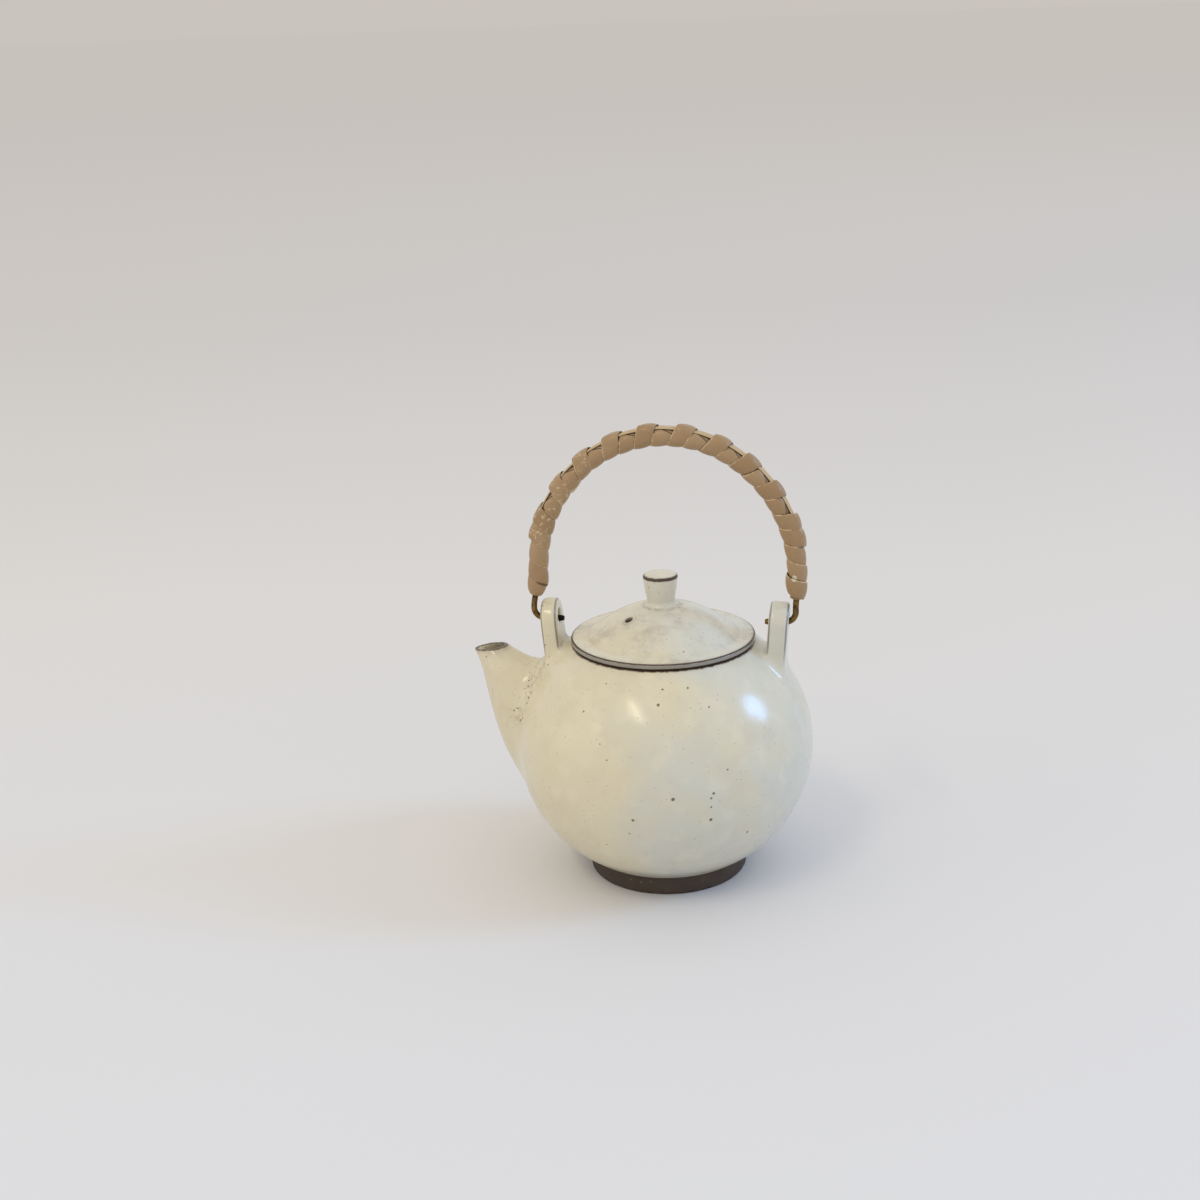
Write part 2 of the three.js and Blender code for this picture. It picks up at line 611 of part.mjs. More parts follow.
// One unbroken tape between two turn counts. Its least gap to itself is measured on its points.
function windTape(name, fromTurn, toTurn) {
  const rings = [];
  for (let turn = Math.floor(fromTurn); turn < toTurn; turn++) {
    const start = (Math.max(fromTurn - turn, 0) - 0.5) * 2 * Math.PI;
    const end = (Math.min(toTurn - turn, 1) - 0.5) * 2 * Math.PI;
    const between = turnSteps.filter((angle) => angle > start + LEAST_STEP && angle < end - LEAST_STEP);
    rings.push(...[start, ...between].map((angle) => tapeSection(turn, angle)));
    if (turn + 1 >= toTurn) rings.push(tapeSection(turn, end));
  }
  let least = Infinity;
  for (let i = 0; i < rings.length; i++) {
    for (let j = i + turnSteps.length - 1; j <= i + turnSteps.length + 1 && j < rings.length; j++) {
      for (const here of rings[i]) {
        for (const next of rings[j]) least = Math.min(least, here.distanceTo(next));
      }
    }
  }
  console.log(`${name}: ${toTurn - fromTurn} turns, least gap to itself ${least.toFixed(2)} mm`);
  rings.unshift(straightEnd(rings[0], rings[1]));
  rings.push(straightEnd(rings[rings.length - 1], rings[rings.length - 2]));
  return skinOf(rings, false);
}

// The strip lies on the outside of the handle, with its ends under the covered turns.
function handleStrip() {
  const start = TAPE_WIDTH / 4 + PITCH * (END_TURNS + 0.5);
  const end = TAPE_WIDTH * 0.75 + PITCH * (BANDS - END_TURNS - 0.5);
  const half = STRIP_WIDTH / 2;
  const corners = [[half, stripOuter], [-half, stripOuter], [-half, stripInner], [half, stripInner]];
  const rings = Array.from({ length: STRIP_STEPS + 1 }, (_, i) => {
    const { point, out } = handleFrame(THREE.MathUtils.lerp(start, end, i / STRIP_STEPS));
    return corners.map(([across, reach]) => {
      const side = new THREE.Vector3(0, across, 0);
      return point.clone().addScaledVector(out, reach).add(side);
    });
  });
  return skinOf(rings, false);
}

// Finishes
const glaze = { color: 0xd6cdb2, roughness: 0.25, metalness: 0 };
const bareClay = { color: 0x3c342c, roughness: 0.9, metalness: 0 };
const brass = { color: 0x7a6440, roughness: 0.4, metalness: 1 };
const tanTape = { color: 0xa98f72, roughness: 0.55, metalness: 0 };
const paleCane = { color: 0xcdb68a, roughness: 0.6, metalness: 0 };
const padding = { color: 0xb49c78, roughness: 0.8, metalness: 0 };

const teapot = new THREE.Group();

function addPiece(name, geometry, finish) {
  const piece = new THREE.Mesh(geometry, new THREE.MeshStandardMaterial(finish));
  piece.name = name;
  teapot.add(piece);
}

const seam = THREE.MathUtils.clamp(FRONT_TAPE_TURNS, 1, TURNS - 1);

addPiece("pot_bowl", potBowl(), glaze);
addPiece("pot_body", potBody(), glaze);
addPiece("foot_ring", footRing(), bareClay);
addPiece("spout", spout(), glaze);
addPiece("strainer", strainer(), bareClay);
addPiece("lug_front", lug(-1), glaze);
addPiece("lug_rear", lug(1), glaze);
addPiece("lid", lid(), glaze);
addPiece("lid_ring", lidRing(), bareClay);
addPiece("lid_knob", lidKnob(), glaze);
addPiece("bail_wire", bailWire(), brass);
addPiece("handle_core", handleCore(), padding);
addPiece("handle_strip", handleStrip(), paleCane);
addPiece("tape_front", windTape("tape_front", 0, seam - SEAM_HALF), tanTape);
addPiece("tape_rear", windTape("tape_rear", seam + SEAM_HALF, TURNS), tanTape);

// The middle of the whole teapot's box goes over the origin, so the pot's own axis stands off it.
const box = new THREE.Box3().setFromObject(teapot);
teapot.position.x = -(box.min.x + box.max.x) / 2;

export default teapot;
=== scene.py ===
# %% [markdown]
# # A bamboo-handle teapot, dressed from its CAD frame
# The CAD solids give the size, the place and the moving bodies of every piece. This lesson lays a glazed
# skin, a clay foot, a brass wire and a wound handle over them, and keeps each on the body that it moves
# with.

# %% Load the frame
import json
import math

import bpy
import numpy as np
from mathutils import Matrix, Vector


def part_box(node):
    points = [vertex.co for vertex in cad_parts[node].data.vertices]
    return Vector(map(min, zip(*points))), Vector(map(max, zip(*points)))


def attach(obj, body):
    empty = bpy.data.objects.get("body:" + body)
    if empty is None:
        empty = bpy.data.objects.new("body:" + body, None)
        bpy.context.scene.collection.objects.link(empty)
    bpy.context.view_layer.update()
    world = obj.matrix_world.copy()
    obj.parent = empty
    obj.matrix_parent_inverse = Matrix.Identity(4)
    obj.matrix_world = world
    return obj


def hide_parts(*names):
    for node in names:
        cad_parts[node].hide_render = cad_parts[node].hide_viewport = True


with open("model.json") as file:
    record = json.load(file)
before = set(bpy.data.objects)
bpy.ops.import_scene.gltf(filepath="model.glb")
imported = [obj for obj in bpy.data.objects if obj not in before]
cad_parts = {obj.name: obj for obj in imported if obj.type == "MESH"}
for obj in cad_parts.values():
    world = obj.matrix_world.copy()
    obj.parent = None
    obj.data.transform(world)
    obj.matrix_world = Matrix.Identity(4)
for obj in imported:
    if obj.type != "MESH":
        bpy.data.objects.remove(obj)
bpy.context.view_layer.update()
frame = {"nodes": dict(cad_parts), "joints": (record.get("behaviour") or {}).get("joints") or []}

import openvdb
from mathutils import Matrix, Vector

# %% [markdown]
# ## Sizes
# All lengths below are millimetres. The pot's own axis stands a little off the frame's origin, so x is
# counted from that axis and moved by AXIS_X at the end. The frame's boxes give the axis and the heights.

# %% Sizes taken from the frame
MM = 0.001


def span(node):
    """Lowest and highest corner of a CAD piece, in millimetres."""
    return [np.array(corner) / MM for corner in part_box(node)]


AXIS_X = (span("foot_ring")[0] + span("foot_ring")[1])[0] / 2
FOOT_TOP = span("foot_ring")[1][2]
BELLY_RADIUS = 65.0
BELLY_HALF_HEIGHT = 59.35
FOOT_RADIUS = 35.5
BELLY_Z = FOOT_TOP + BELLY_HALF_HEIGHT * math.sqrt(1 - (FOOT_RADIUS / BELLY_RADIUS) ** 2)
WALL = 4
HOLLOW_Z = 9.0
MOUTH_RADIUS = 31.0
RIM_Z = span("pot_body")[1][2]
LID_Z = span("lid")[0][2]
KNOB_Z = span("lid_knob")[0][2]
KNOB_TOP = span("lid_knob")[1][2]
LUG_TOP = span("lug_front")[1][2]
HOLE_Z = LUG_TOP - 8.6
BAIL_MIDDLE = 0.5  # along x, from the pot's axis
HINGE = next(joint for joint in frame["joints"] if joint["name"] == "bail_swing")
HINGE_Z = HINGE["pos_m"][2] / MM
print(f"axis at x {AXIS_X:.2f}, widest at z {BELLY_Z:.2f}, rim {RIM_Z:.2f}")
print(f"knob {KNOB_Z:.2f} to {KNOB_TOP:.2f}, lug top {LUG_TOP:.2f}, hinge at z {HINGE_Z:.2f}")

# %% [markdown]
# ## Soft clay from distance fields
# Thrown and luted clay has no sharp joins. So the pot is described by its distance field: a number at each
# point of a grid, below zero inside the clay. Two fields join with a fillet when the smaller one is taken
# smoothly, and one is cut from the other in the same way.

# %% Shapes as distance fields
def smooth_join(a, b, fillet):
    """Both shapes, with a fillet where they meet."""
    near = np.maximum(fillet - np.abs(a - b), 0) / fillet
    return np.minimum(a, b) - near * near * fillet / 4


def smooth_cut(a, b, fillet):
    """The first shape without the second, with a rounded edge."""
    return -smooth_join(-a, b, fillet)


def ellipse_arc(radius, half_height, centre, start, end, steps=80):
    """Points (reach, height) along an ellipse between two heights."""
    low, high = (math.asin((height - centre) / half_height) for height in (start, end))
    angles = np.linspace(low, high, steps)
    return [(radius * math.cos(a), centre + half_height * math.sin(a)) for a in angles]


def outline_distance(outline, reach, height):
    """Distance to a closed outline that is mirrored over the axis, below zero inside it."""
    points = outline + [(-r, z) for r, z in reversed(outline)]
    least = np.full(np.broadcast(reach, height).shape, np.inf)
    inside = np.zeros(least.shape, bool)
    for (r0, z0), (r1, z1) in zip(points, points[1:] + points[:1]):
        dr, dz = r1 - r0, z1 - z0
        if dr == dz == 0:
            continue
        along = np.clip(((reach - r0) * dr + (height - z0) * dz) / (dr * dr + dz * dz), 0, 1)
        least = np.minimum(least, np.hypot(reach - r0 - along * dr, height - z0 - along * dz))
        if dz:
            inside ^= ((z0 > height) != (z1 > height)) & (reach < r0 + dr * (height - z0) / dz)
    return np.where(inside, -least, least)


def spun(outline, grid, cell):
    """The field of an outline turned round the axis, on a whole grid."""
    x, y, z = grid
    reach = np.hypot(x, y)
    table = outline_distance(outline, np.arange(0, reach.max() + 2 * cell, cell)[:, None], z.reshape(1, -1))
    place = (reach / cell)[:, :, 0]
    low = place.astype(int)
    share = (place - low)[:, :, None].astype(np.float32)
    table = table.astype(np.float32)
    return table[low] * (1 - share) + table[low + 1] * share


def block(low, high, cell):
    """Coordinates of a grid between two corners."""
    axes = [np.arange(a, b, cell, dtype=np.float32) for a, b in zip(low, high)]
    return axes[0][:, None, None], axes[1][None, :, None], axes[2][None, None, :]


# %% [markdown]
# ## From a field to a mesh
# OpenVDB turns the grid into a mesh at the field's zero level. Its points are then moved onto that level, and
# the field's slope gives their normals. A smoothed copy of the field tells where the surface is sharp.

# %% From a field to a mesh
def blurred(field, width):
    """The mean of the field over a small cube round each point."""
    for axis in range(3):
        pad = [(0, 0)] * 3
        pad[axis] = (width + 1, width)
        total = np.cumsum(np.pad(field, pad, mode="edge"), axis=axis, dtype=np.float64)
        size = 2 * width + 1
        ahead = [slice(None)] * 3
        behind = [slice(None)] * 3
        ahead[axis] = slice(size, None)
        behind[axis] = slice(None, -size)
        field = ((total[tuple(ahead)] - total[tuple(behind)]) / size).astype(np.float32)
    return field


def sample(field, places):
    """The field's value at places counted in cells, read smoothly between the cells."""
    low = np.clip(np.floor(places).astype(int), 0, np.array(field.shape) - 2)
    share = places - low
    value = np.zeros(len(places))
    for corner in np.ndindex(2, 2, 2):
        weight = np.prod(np.where(corner, share, 1 - share), axis=1)
        at = low + corner
        value += weight * field[at[:, 0], at[:, 1], at[:, 2]]
    return value


def link(obj):
    bpy.context.scene.collection.objects.link(obj)
    return obj


def mark(mesh, marks):
    """Stores numbers on the mesh's points, one list for each label."""
    for label, numbers in marks.items():
        values = np.asarray(numbers, np.float32)
        mesh.attributes.new(label, "FLOAT", "POINT").data.foreach_set("value", values)


def flatten(obj):
    """The object's modifiers, worked into a plain mesh."""
    graph = bpy.context.evaluated_depsgraph_get()
    mesh = bpy.data.meshes.new_from_object(obj.evaluated_get(graph))
    obj.modifiers.clear()
    obj.data = mesh
    return obj


def skin(name, field, low, cell, triangles, marks=None):
    """A smooth mesh over the field's zero level, with an attribute for how sharp its edges are."""
    band = 3 * cell
    grid = openvdb.FloatGrid(band)
    grid.copyFromArray(np.clip(field, -band, band).astype(np.float32))
    points, quads = grid.convertToQuads(isovalue=0.0)
    a, b, c = (points[quads[:, i]] for i in range(3))
    if np.einsum("ij,ij->i", a, np.cross(b, c)).sum() < 0:
        quads = quads[:, ::-1]
    mesh = bpy.data.meshes.new(name)
    mesh.vertices.add(len(points))
    mesh.vertices.foreach_set("co", points.astype(np.float32).ravel())
    mesh.loops.add(quads.size)
    mesh.loops.foreach_set("vertex_index", quads.astype(np.int32).ravel())
    mesh.polygons.add(len(quads))
    mesh.polygons.foreach_set("loop_start", np.arange(0, quads.size, 4, dtype=np.int32))
    mesh.update(calc_edges=True)
    mesh.validate()
    obj = link(bpy.data.objects.new(name, mesh))
    share = triangles / (2 * len(quads))
    if share < 1:
        thin = obj.modifiers.new("Fewer triangles", "DECIMATE")
        thin.ratio = share
        flatten(obj)
    mesh = obj.data
    places = np.empty(3 * len(mesh.vertices), np.float32)
    mesh.vertices.foreach_get("co", places)
    places = places.reshape(-1, 3).astype(float)
    normals = np.empty_like(places)
    for _ in range(2):
        for axis in range(3):
            step = np.zeros(3)
            step[axis] = 0.7
            normals[:, axis] = sample(field, places + step) - sample(field, places - step)
        slope = np.linalg.norm(normals, axis=1, keepdims=True)
        normals /= np.maximum(slope, 1e-6)
        off = sample(field, places)[:, None] / np.maximum(slope / 1.4, 0.3 * cell)
        places -= normals * np.clip(off, -0.5, 0.5)
    marks = {"edge": blurred(np.clip(field, -3, 3), round(1.6 / cell))} | (marks or {})
    mark(mesh, {label: sample(numbers, places) for label, numbers in marks.items()})
    corner = np.array([low[0] + AXIS_X, low[1], low[2]])
    mesh.vertices.foreach_set("co", ((corner + places * cell) * MM).astype(np.float32).ravel())
    mesh.shade_smooth()
    mesh.normals_split_custom_set_from_vertices(normals.tolist())
    mesh.update()
    print(f"{name}: {len(mesh.vertices)} points, {sum(len(p.vertices) - 2 for p in mesh.polygons)} triangles")
    return obj


# %% [markdown]
# ## The spout
# Two curves lead the spout: its underside and its top line. A straight line between them, moving from the
# belly to the mouth, is the long axis of an oval ring. For each point the code finds the line that passes
# through it, and from that the distance to the oval.

# %% The spout's two leading curves
def bezier(points, t):
    """A curve's place at t, from its control points."""
    points = np.array(points, float)
    while len(points) > 1:
        points = points[:-1] + (points[1:] - points[:-1]) * t
    return points[0]


SPOUT_LIP = (-84.5, RIM_Z - 5.8)
SPOUT_BACK = (SPOUT_LIP[0] + 14.7, SPOUT_LIP[1] + 2.1)
BEAK = 2.6
UNDERSIDE = [
    (-60.28, BELLY_Z - 22.2), (-76.88, BELLY_Z - 7.2), (-79.2, SPOUT_LIP[1] - 16), (-81.9, SPOUT_LIP[1]),
]
TOP_LINE = [(-51.34, BELLY_Z + 36.4), (SPOUT_BACK[0] + 8.8, SPOUT_BACK[1] - 7.6), SPOUT_BACK]
SPOUT_START = -0.35  # before 0 the lines run on inside the belly, and past 1 beyond the mouth
SPOUT_END = 1.2
SPOUT_RUN = 34
ROOT_WALL = 3.5
MOUTH_WALL = 1.7
MOUTH_WIDTH = 9.8
ROOT_FLARE = 28.0


def spout_line(t):
    """Both ends of the ring's long axis. Before 0 and past 1 they run on in straight lines."""
    along = min(max(t, 0.0), 1.0)
    ends = []
    for curve in (UNDERSIDE, TOP_LINE):
        ahead = bezier(curve, min(along + 0.001, 1.0)) - bezier(curve, max(along - 0.001, 0.0))
        ends.append(bezier(curve, along) + ahead / np.linalg.norm(ahead) * (t - along) * SPOUT_RUN)
    ends[0][0] -= BEAK * along**8
    return ends


# %% [markdown]
# ## The spout's wall
# The outer oval narrows toward the mouth, and the inner one is smaller by the wall. What lies past the mouth's
# line is cut away.

# %% Field of the spout
def spout_fields(grid):
    """Outer and inner field of the spout, its wall between them."""
    x, y, z = grid
    px, pz = x[:, 0, :] + 0 * z[0], z[0] + 0 * x[:, 0, :]
    steps = np.linspace(SPOUT_START, SPOUT_END, 156)
    lines = np.array([spout_line(t) for t in steps])

    def ahead_of(line):
        (x0, z0), (x1, z1) = line
        return ((x1 - x0) * (pz - z0) - (z1 - z0) * (px - x0)) / math.hypot(x1 - x0, z1 - z0)

    sign = 1 if ahead_of(lines[0])[0, -1] > 0 else -1
    start = before = sign * ahead_of(lines[0])
    t = np.where(before < 0, SPOUT_START, SPOUT_END)
    found = before < 0
    for i in range(1, len(steps)):
        now = sign * ahead_of(lines[i])
        here = ~found & (now < 0)
        share = before / np.where(before - now == 0, 1, before - now)
        t = np.where(here, steps[i - 1] + share * (steps[i] - steps[i - 1]), t)
        found |= here
        before = now
    ends = [[np.interp(t, steps, lines[:, end, axis]) for axis in range(2)] for end in range(2)]
    ux, uz = ends[1][0] - ends[0][0], ends[1][1] - ends[0][1]
    length = np.hypot(ux, uz)
    across = ((px - (ends[0][0] + ends[1][0]) / 2) * ux + (pz - (ends[0][1] + ends[1][1]) / 2) * uz) / length
    along = np.clip(t, 0, 1)
    half_width = (MOUTH_WIDTH + ROOT_FLARE * (1 - along) ** 0.8) / 2
    wall = ROOT_WALL + (MOUTH_WALL - ROOT_WALL) * along

    def oval(half_length, half_width):
        s = (across / half_length)[:, None, :]
        w = half_width[:, None, :]
        q = np.sqrt(s * s + (y / w) ** 2)
        slope = np.sqrt((s / half_length[:, None, :]) ** 2 + (y / w**2) ** 2)
        return (q * (q - 1) / np.maximum(slope, 1e-3)).astype(np.float32)

    mouth = (sign * ahead_of(np.array(spout_line(1.0))))[:, None, :].astype(np.float32)
    outer = oval(length / 2, half_width)
    inner = oval(np.maximum(length / 2 - wall, 1), np.maximum(half_width - wall, 1))
    root = -start[:, None, :].astype(np.float32)
    return np.maximum(smooth_cut(outer, -mouth, 0.8), root), inner


# %% [markdown]
# ## The lugs
# Each lug is an arched slab that leans a little outward. Its corners are rounded by measuring from a
# smaller slab.

# %% Field of a lug
LUGS = {-1: 7.1, 1: 8.3}  # thickness of the front and the rear lug
LUG_INNER_REACH = 45.8
LUG_HALF_WIDTH = 9.25
LUG_HOLE_RADIUS = 2.8
LUG_ROUNDING = 1.9
LUG_DEPTH = 32  # below the hole, into the belly
LUG_LEAN = 4  # degrees
LUG_ARCH = LUG_TOP - 0.8 - LUG_HALF_WIDTH - HOLE_Z


def lug_place(side):
    """Lean of a lug and its middle's place along x."""
    return math.radians(LUG_LEAN * side), BAIL_MIDDLE + side * (LUG_INNER_REACH + LUGS[side] / 2)


def lug_field(grid, side):
    x, y, z = grid
    lean, centre = lug_place(side)
    across = (x - centre) * math.cos(lean) - (z - HOLE_Z) * math.sin(lean)
    up = (x - centre) * math.sin(lean) + (z - HOLE_Z) * math.cos(lean)
    swell = 0.25 * np.cos(np.clip(up / 14, -1.5, 1.5))
    face = np.abs(across) - LUGS[side] / 2 + 0.12 - swell + LUG_ROUNDING
    outline = np.where(up > LUG_ARCH, np.hypot(y, up - LUG_ARCH), np.abs(y)) - LUG_HALF_WIDTH + LUG_ROUNDING
    slab = np.hypot(np.maximum(face, 0), np.maximum(outline, 0)) + np.minimum(np.maximum(face, outline), 0)
    slab = np.maximum(slab - LUG_ROUNDING, -(up + LUG_DEPTH))
    hole = np.hypot(y, up) - LUG_HOLE_RADIUS
    return smooth_cut(slab, np.maximum(hole, np.abs(across) - 12), 1.2)


# %% [markdown]
# ## The glazed pot
# Belly, spout and lugs join into one skin, then the hollow, the mouth and the spout's bore are taken out of
# it.
# Known fault: the boss inside the foot is left out, so the floor is thin and has a hole round the axis.

# %% Build the pot's skin
CELL = 0.75
STRAINER_X = -50  # of the opening behind the spout
STRAINER_RISE = 8
STRAINER_RADIUS = 10.8
pot_low = (-90.0, -69.0, 4.0)
pot_grid = block(pot_low, (69.0, 69.0, 128.0), CELL)
belly_outline = (
    [(0, FOOT_TOP)]
    + ellipse_arc(BELLY_RADIUS, BELLY_HALF_HEIGHT, BELLY_Z, FOOT_TOP, RIM_Z)
    + [(0, RIM_Z)]
)
hollow_outline = (
    [(0, HOLLOW_Z)]
    + ellipse_arc(BELLY_RADIUS - WALL, BELLY_HALF_HEIGHT - WALL, BELLY_Z, HOLLOW_Z + 0.5, RIM_Z - WALL - 1)
    + [(MOUTH_RADIUS, RIM_Z - WALL), (MOUTH_RADIUS, RIM_Z + 6), (0, RIM_Z + 6)]
)
belly = spun(belly_outline, pot_grid, CELL / 2)
spout_outer, spout_bore = spout_fields(pot_grid)
clay = smooth_join(belly, spout_outer, 6.0)
clay = smooth_join(clay, np.minimum(lug_field(pot_grid, -1), lug_field(pot_grid, 1)), 5.0)
opening = np.hypot(pot_grid[1], pot_grid[2] - BELLY_Z - STRAINER_RISE) - STRAINER_RADIUS
strainer_hole = np.maximum(np.maximum(opening, pot_grid[0] - STRAINER_X), belly - 0.5)
crease = np.abs(belly - spout_outer)
spout_bore = np.minimum(np.maximum(spout_bore, -belly), strainer_hole)
hollow = np.minimum(spun(hollow_outline, pot_grid, CELL / 2), spout_bore)
clay = smooth_cut(clay, hollow, 1.2)
pot = skin("glazed_pot", clay, pot_low, CELL, 180000, {"crease": crease})
del belly, spout_outer, spout_bore, hollow, clay, opening, strainer_hole, crease, pot_grid

# %% [markdown]
# ## The lid
# The lid is thrown too: a domed plate with a flat edge, a ring that drops into the mouth, a vent and a knob
# that stands a little off centre. A thin ring of clay stands round the vent and follows the dome's slope.

# %% Build the lid's skin
LID_CELL = 0.45
lid_low = (-43.0, -43.0, LID_Z - 11)
lid_grid = block(lid_low, (43.0, 43.0, KNOB_TOP + 3), LID_CELL)
edge_top = LID_Z + 2.5
VENT_X, VENT_Y = -12.65, -13.1
VENT_REACH = 18.2
DOME_SLOPE = 0.445  # at the vent


def dome(share):
    """A point of the lid's upper face, from its flat edge (0) to the knob (1)."""
    reach = 33.4 - 27.4 * share
    ring = 0.35 * math.exp(-(((reach - 31.2) / 1.3) ** 2)) - 0.2 * math.exp(-(((reach - 27.5) / 1.8) ** 2))
    return reach, edge_top + 0.1 + (KNOB_Z - edge_top - 0.1) * share + 10.0 * share * (1 - share) + ring


plate_outline = (
    [(0, LID_Z + 9.5), (12, LID_Z + 8), (27.2, LID_Z)]
    + [(39.3, LID_Z), (40.0, LID_Z + 0.5), (40.05, LID_Z + 1.9), (39.2, edge_top)]
    + [(36.6, edge_top - 0.15)]
    + [dome(i / 24) for i in range(25)]
    + [(0, KNOB_Z + 0.2)]
)
knob_outline = [
    (0, KNOB_Z - 3), (5.5, KNOB_Z - 3), (5.5, KNOB_Z + 0.5), (6.25, KNOB_Z + 3.5), (7.0, KNOB_Z + 7.6),
    (7.55, KNOB_TOP - 1.9), (7.35, KNOB_TOP - 0.75), (6.5, KNOB_TOP - 0.35), (0, KNOB_TOP - 0.05),
]
knob_grid = (lid_grid[0] + 0.5, lid_grid[1], lid_grid[2])  # thrown a little off centre
plate, knob = spun(plate_outline, lid_grid, LID_CELL / 2), spun(knob_outline, knob_grid, LID_CELL / 2)
lid_field = smooth_join(plate, knob, 3.0)
reach = np.hypot(lid_grid[0], lid_grid[1])
ring_field = np.maximum(np.abs(reach - 28.7) - 1.5, np.abs(lid_grid[2] - LID_Z + 3.5) - 4.5)
lid_field = smooth_join(lid_field, ring_field, 1.5)
vent_reach = np.hypot(lid_grid[0] - VENT_X, lid_grid[1] - VENT_Y)
vent_height = lid_grid[2] - (LID_Z + 12.25 - DOME_SLOPE * (reach - VENT_REACH))
vent_edge = np.hypot(vent_reach - 2.1, vent_height) - 0.6
lid_field = smooth_join(lid_field, vent_edge, 1.2)
lid_field = smooth_cut(lid_field, vent_reach - 1.5, 0.6)
lid = skin("glazed_lid", lid_field, lid_low, LID_CELL, 120000)
del plate, knob, lid_field, ring_field, vent_reach, vent_height, vent_edge, reach, lid_grid

# %% [markdown]
# ## The clay foot
# The foot ring is bare clay. It is turned from an outline, and its surface is roughened by the material
# later on.

# %% Turn the foot ring
def turn_outline(name, outline, segments):
    """A closed ring turned from an outline of (reach, height) points."""
    angles = np.linspace(0, 2 * math.pi, segments, endpoint=False)
    count = len(outline)
    vertices = [
        ((AXIS_X + r * math.cos(a)) * MM, r * math.sin(a) * MM, z * MM) for a in angles for r, z in outline
    ]
    faces = []
    for i in range(segments):
        here, ahead = i * count, ((i + 1) % segments) * count
        for j in range(count):
            k = (j + 1) % count
            faces.append((here + j, ahead + j, ahead + k, here + k))
    mesh = bpy.data.meshes.new(name)
    mesh.from_pydata(vertices, [], faces)
    mesh.shade_smooth()
    return link(bpy.data.objects.new(name, mesh))


def softened(corners, radius, steps=4):
    """An outline with each corner replaced by a short curve."""
    soft = []
    for i, corner in enumerate(corners):
        corner = np.array(corner, float)
        last, after = np.array(corners[i - 1], float), np.array(corners[(i + 1) % len(corners)], float)
        start = corner + (last - corner) / np.linalg.norm(last - corner) * radius
        end = corner + (after - corner) / np.linalg.norm(after - corner) * radius
        soft += [tuple(bezier([start, corner, end], s / steps)) for s in range(steps + 1)]
    return soft


foot_corners = [(29.0, 0.0), (33.9, 0.0), (34.7, 1.0), (35.35, 8.9), (29.0, 8.9)]
foot = turn_outline("clay_foot", softened(foot_corners, 0.45), 192)
print("foot ring:", len(foot.data.polygons), "faces")

# %% [markdown]
# ## The bail's line
# The wire comes out of one lug, bends up, follows the arch and goes into the other lug. The handle's
# winding follows the same line, so both read it from one table of evenly spaced points.

# %% Lay out the bail
LEG_REACH = 57.0
SPRING_Z = HINGE_Z + 20.35
WRAP_Z = LUG_TOP + 1.4
HALF_SPAN = LEG_REACH - 1
RISE = 60.9
ARCH_SHIFT = 1.8  # the arch leans to the rear
WIRE_BEND = 4.5


def bail_point(run, start_z):
    """A point of the bail at a run along it from start_z on its front leg."""
    leg = SPRING_Z - start_z
    arch = math.pi * (HALF_SPAN + RISE) / 2
    from_end = min(run, 2 * leg + arch - run)
    if from_end < leg:
        side = -1 if run < leg + arch / 2 else 1
        rise = min(max((start_z + from_end - HINGE_Z - WIRE_BEND) / (SPRING_Z - HINGE_Z - WIRE_BEND), 0), 1)
        lean = rise * rise * (3 - 2 * rise)
        return BAIL_MIDDLE + ARCH_SHIFT * lean + side * (LEG_REACH - lean), start_z + from_end
    angle = math.pi * (run - leg) / arch
    return BAIL_MIDDLE + ARCH_SHIFT - HALF_SPAN * math.cos(angle), SPRING_Z + RISE * math.sin(angle)


def bail_points(start_z, steps):
    total = 2 * (SPRING_Z - start_z) + math.pi * (HALF_SPAN + RISE) / 2
    return np.array([bail_point(total * i / steps, start_z) for i in range(steps + 1)])


handle_points = bail_points(WRAP_Z, 4000)
handle_runs = np.concatenate([[0], np.cumsum(np.linalg.norm(np.diff(handle_points, axis=0), axis=1))])
HANDLE_LENGTH = handle_runs[-1]


def handle_places(runs):
    runs = np.clip(runs, 0, HANDLE_LENGTH)
    return np.stack([np.interp(runs, handle_runs, handle_points[:, i]) for i in range(2)], 1)


def handle_frame(runs):
    """Places on the handle's middle line, and its directions along and outward."""
    runs = np.clip(runs, 0, HANDLE_LENGTH)
    place = handle_places(runs)
    along = handle_places(runs + 0.3) - handle_places(runs - 0.3)
    along /= np.linalg.norm(along, axis=1, keepdims=True)
    flat = np.zeros(len(runs))
    return (
        np.stack([place[:, 0] + AXIS_X, flat, place[:, 1]], 1),
        np.stack([along[:, 0], flat, along[:, 1]], 1),
        np.stack([-along[:, 1], flat, along[:, 0]], 1),
    )


print(f"handle: {HANDLE_LENGTH:.1f} mm from end to end")

# %% [markdown]
# ## Node trees written like sums
# A tree of Math nodes is long to write out. So what a node puts out is wrapped in a small class: adding or
# multiplying two of them places a Math node in their tree and links it.

# %% Node helpers
class Flow:
    """What a node puts out. A sum with it places a Math node in its tree."""

    def __init__(self, socket):
        self.socket = socket

    def other(self, key):
        """Another output of the same node."""
        return Flow(self.socket.node.outputs[key])

    __add__ = lambda self, value: calc("ADD", self, value)
    __radd__ = lambda self, value: calc("ADD", value, self)
    __sub__ = lambda self, value: calc("SUBTRACT", self, value)
    __rsub__ = lambda self, value: calc("SUBTRACT", value, self)
    __mul__ = lambda self, value: calc("MULTIPLY", self, value)
    __rtruediv__ = lambda self, value: calc("DIVIDE", value, self)
    __abs__ = lambda self: calc("ABSOLUTE", self)


def fill(node, inputs):
    """Sets a node's inputs: a Flow is linked, and anything else becomes the socket's own value."""
    for key, value in inputs.items():
        if isinstance(value, Flow):
            node.id_data.links.new(value.socket, node.inputs[key])
        else:
            node.inputs[key].default_value = value


